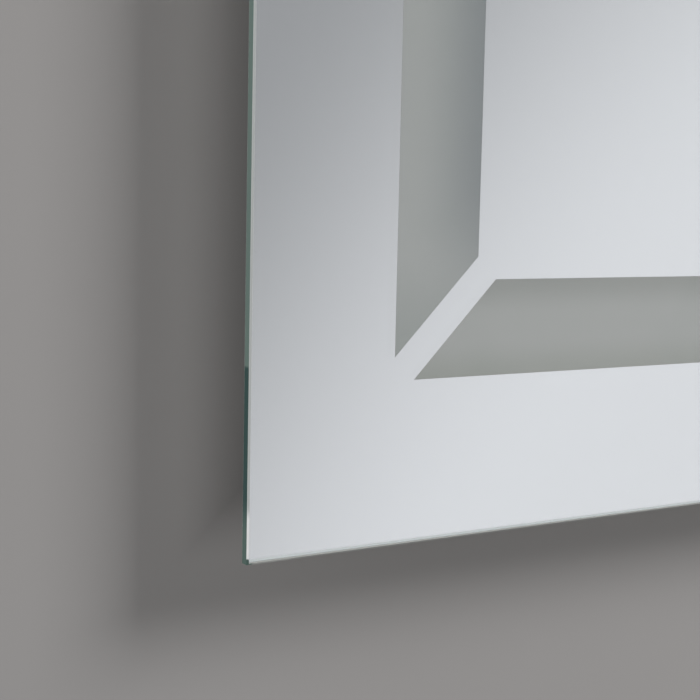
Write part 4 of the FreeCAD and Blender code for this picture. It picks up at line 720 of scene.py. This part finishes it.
def end_one_sided(finish, face):
    """Ends a stage sheet's finish: its face in front, and nothing to be seen from behind."""
    behind = finish.node("NewGeometry", output="Backfacing")
    unseen = finish.node("BsdfTransparent")
    finish.end(finish.node("MixShader", {}, {0: behind, 1: face, 2: unseen}))


def clouded(finish, colour, cloud_share, scale, detail):
    """A colour with soft clouds, which have this share of it."""
    cloud_colour = tuple(cloud_share * part for part in colour)
    return finish.mix(colour, cloud_colour, finish.noise(scale, detail))


def wall_finish():
    """Plaster, with a painted shadow close behind the mirror, because the rear lamp's light, which passes
    through the wall, would brighten that strip."""
    material, plaster = new_finish("plaster")
    colour = clouded(plaster, WALL_COLOUR, WALL_CLOUD, scale=5.0, detail=4.0)
    painted_shadow = plaster.step(inward_distance(plaster), *WALL_PAINTED_SHADOW_REACH)
    colour = plaster.mix(colour, WALL_PAINTED_SHADOW, painted_shadow, "MULTIPLY")
    end_one_sided(plaster, plaster.skin(Base_Color=colour, Roughness=0.9))
    return material


def floor_finish():
    """Pale paint, which fades into the air a few steps away."""
    material, paint = new_finish("floor_paint")
    colour = clouded(paint, FLOOR_COLOUR, FLOOR_CLOUD, scale=1.5, detail=3.0)
    face = paint.skin(Base_Color=colour, Roughness=0.8)
    x, y, _ = paint.axes()
    away = (x * x + y * y).maths("SQRT")
    seen = paint.node("LightPath", output="Is Camera Ray")
    air = paint.node("Emission", {}, {"Color": AIR_COLOUR, "Strength": 1.0})
    faded = paint.node("MixShader", {}, {0: seen * paint.step(away, *FLOOR_FADE), 1: face, 2: air})
    end_one_sided(paint, faded)
    return material


def build_stage():
    wall_centre = (0, WALL_GAP, (FLOOR_LEVEL + WALL_TOP) / 2)
    wall_size = (WALL_WIDTH, WALL_TOP - FLOOR_LEVEL)
    wall = stage_sheet("wall", wall_centre, wall_size, (math.radians(90), 0, 0), wall_finish())
    wall.visible_shadow = False
    wall.visible_diffuse = False
    wall.visible_glossy = False
    floor_size = (FLOOR_WIDTH, FLOOR_WIDTH)
    floor = stage_sheet("floor", (0, 0, FLOOR_LEVEL), floor_size, (0, 0, 0), floor_finish())
    floor.visible_diffuse = False
    floor.visible_glossy = False
    floor.visible_transmission = False


# ---------------------------------------------------------------- air and lamps
SOFT_LIGHT_BELOW = 0.28
SOFT_LIGHT_ABOVE = 0.58
ROOM_TINT = (1.122, 1.105, 1.169)    # makes up for what the glass and silver take
ROOM_LEVEL = 0.313
ROOM_SLOPE = 0.55                    # the bright part leans: it goes by x, less this much of z
ROOM_BRIGHT_REACH = (0.395, 0.730)   # of that: where the bright part begins, and is whole
ROOM_BRIGHT = 0.379
ROOM_LEFT_REACH = (0.35, -0.45)      # of x: where the room's left part begins, and is whole
ROOM_LEFT = 0.34
ROOM_WAVE = 0.15                     # how much the left part brightens and darkens, in soft waves
ROOM_WAVE_PACE = 6.5                 # radians of a wave to one of x, plus ROOM_WAVE_SLOPE of z
ROOM_WAVE_SLOPE = 0.5
ROOM_WAVE_START = 2.2

KEY_LAMP_PLACE = (1.9, -2.3, 1.7)
KEY_LAMP_SIZE = 1.6
KEY_LAMP_POWER = 104                 # watts
REAR_LAMP_PLACE = (-1.6, 2.4, 1.5)
REAR_LAMP_SIZE = 1.8
REAR_LAMP_POWER = 66


def room_level(air, x, z):
    """How bright the room is that glass and metal show, in the direction with this x and z."""
    bright = air.step(x - ROOM_SLOPE * z, *ROOM_BRIGHT_REACH)
    left = air.step(x, *ROOM_LEFT_REACH)
    wave = (ROOM_WAVE_PACE * (x + ROOM_WAVE_SLOPE * z) + ROOM_WAVE_START).maths("SINE")
    return ROOM_LEVEL + ROOM_BRIGHT * bright + left * (ROOM_LEFT + ROOM_WAVE * wave)


def light_air():
    """Soft light all round. Glass and metal show a room instead, which brightens to the lower right."""
    world = bpy.data.worlds.new("air")
    world.use_nodes = True
    bpy.context.scene.world = world
    air = Finish(world.node_tree)
    x, _, z = air.split(air.node("TexCoord", output="Generated"))
    through = air.node("LightPath", output="Is Transmission Ray")
    glossy = air.node("LightPath", output="Is Glossy Ray")
    seen = air.node("LightPath", output="Is Camera Ray")
    tint = air.mix((1.0, 1.0, 1.0), ROOM_TINT, through)
    room = air.node("Background", {}, {"Color": tint, "Strength": room_level(air, x, z)})
    strength = air.step(z, -1.0, 1.0, SOFT_LIGHT_BELOW, SOFT_LIGHT_ABOVE)
    soft = air.node("Background", {}, {"Color": (1.0, 1.0, 1.0), "Strength": strength})
    backdrop = air.node("Background", {}, {"Color": AIR_COLOUR})
    lit = air.node("MixShader", {}, {0: glossy.larger(through), 1: soft, 2: room})
    lit = air.node("MixShader", {}, {0: seen, 1: lit, 2: backdrop})
    air.node("OutputWorld", {}, {"Surface": lit})


def hang_lamp(name, place, size, power):
    """A soft lamp, turned to the mirror. It isn't seen itself: glass and metal show the room instead."""
    data = bpy.data.lights.new(name, "AREA")
    data.size = size
    data.energy = power
    lamp = bpy.data.objects.new(name, data)
    lamp.location = place
    lamp.rotation_euler = (PANE_CENTRE - Vector(place)).to_track_quat("-Z", "Y").to_euler()
    lamp.visible_camera = False
    lamp.visible_glossy = False
    lamp.visible_transmission = False
    bpy.context.scene.collection.objects.link(lamp)


def build_lights():
    light_air()
    hang_lamp("key_lamp", KEY_LAMP_PLACE, KEY_LAMP_SIZE, KEY_LAMP_POWER)
    hang_lamp("rear_lamp", REAR_LAMP_PLACE, REAR_LAMP_SIZE, REAR_LAMP_POWER)


bpy.context.scene.view_settings.view_transform = "Standard"
place_camera()
dress_nodes()
glass_pane()
build_stage()
build_lights()
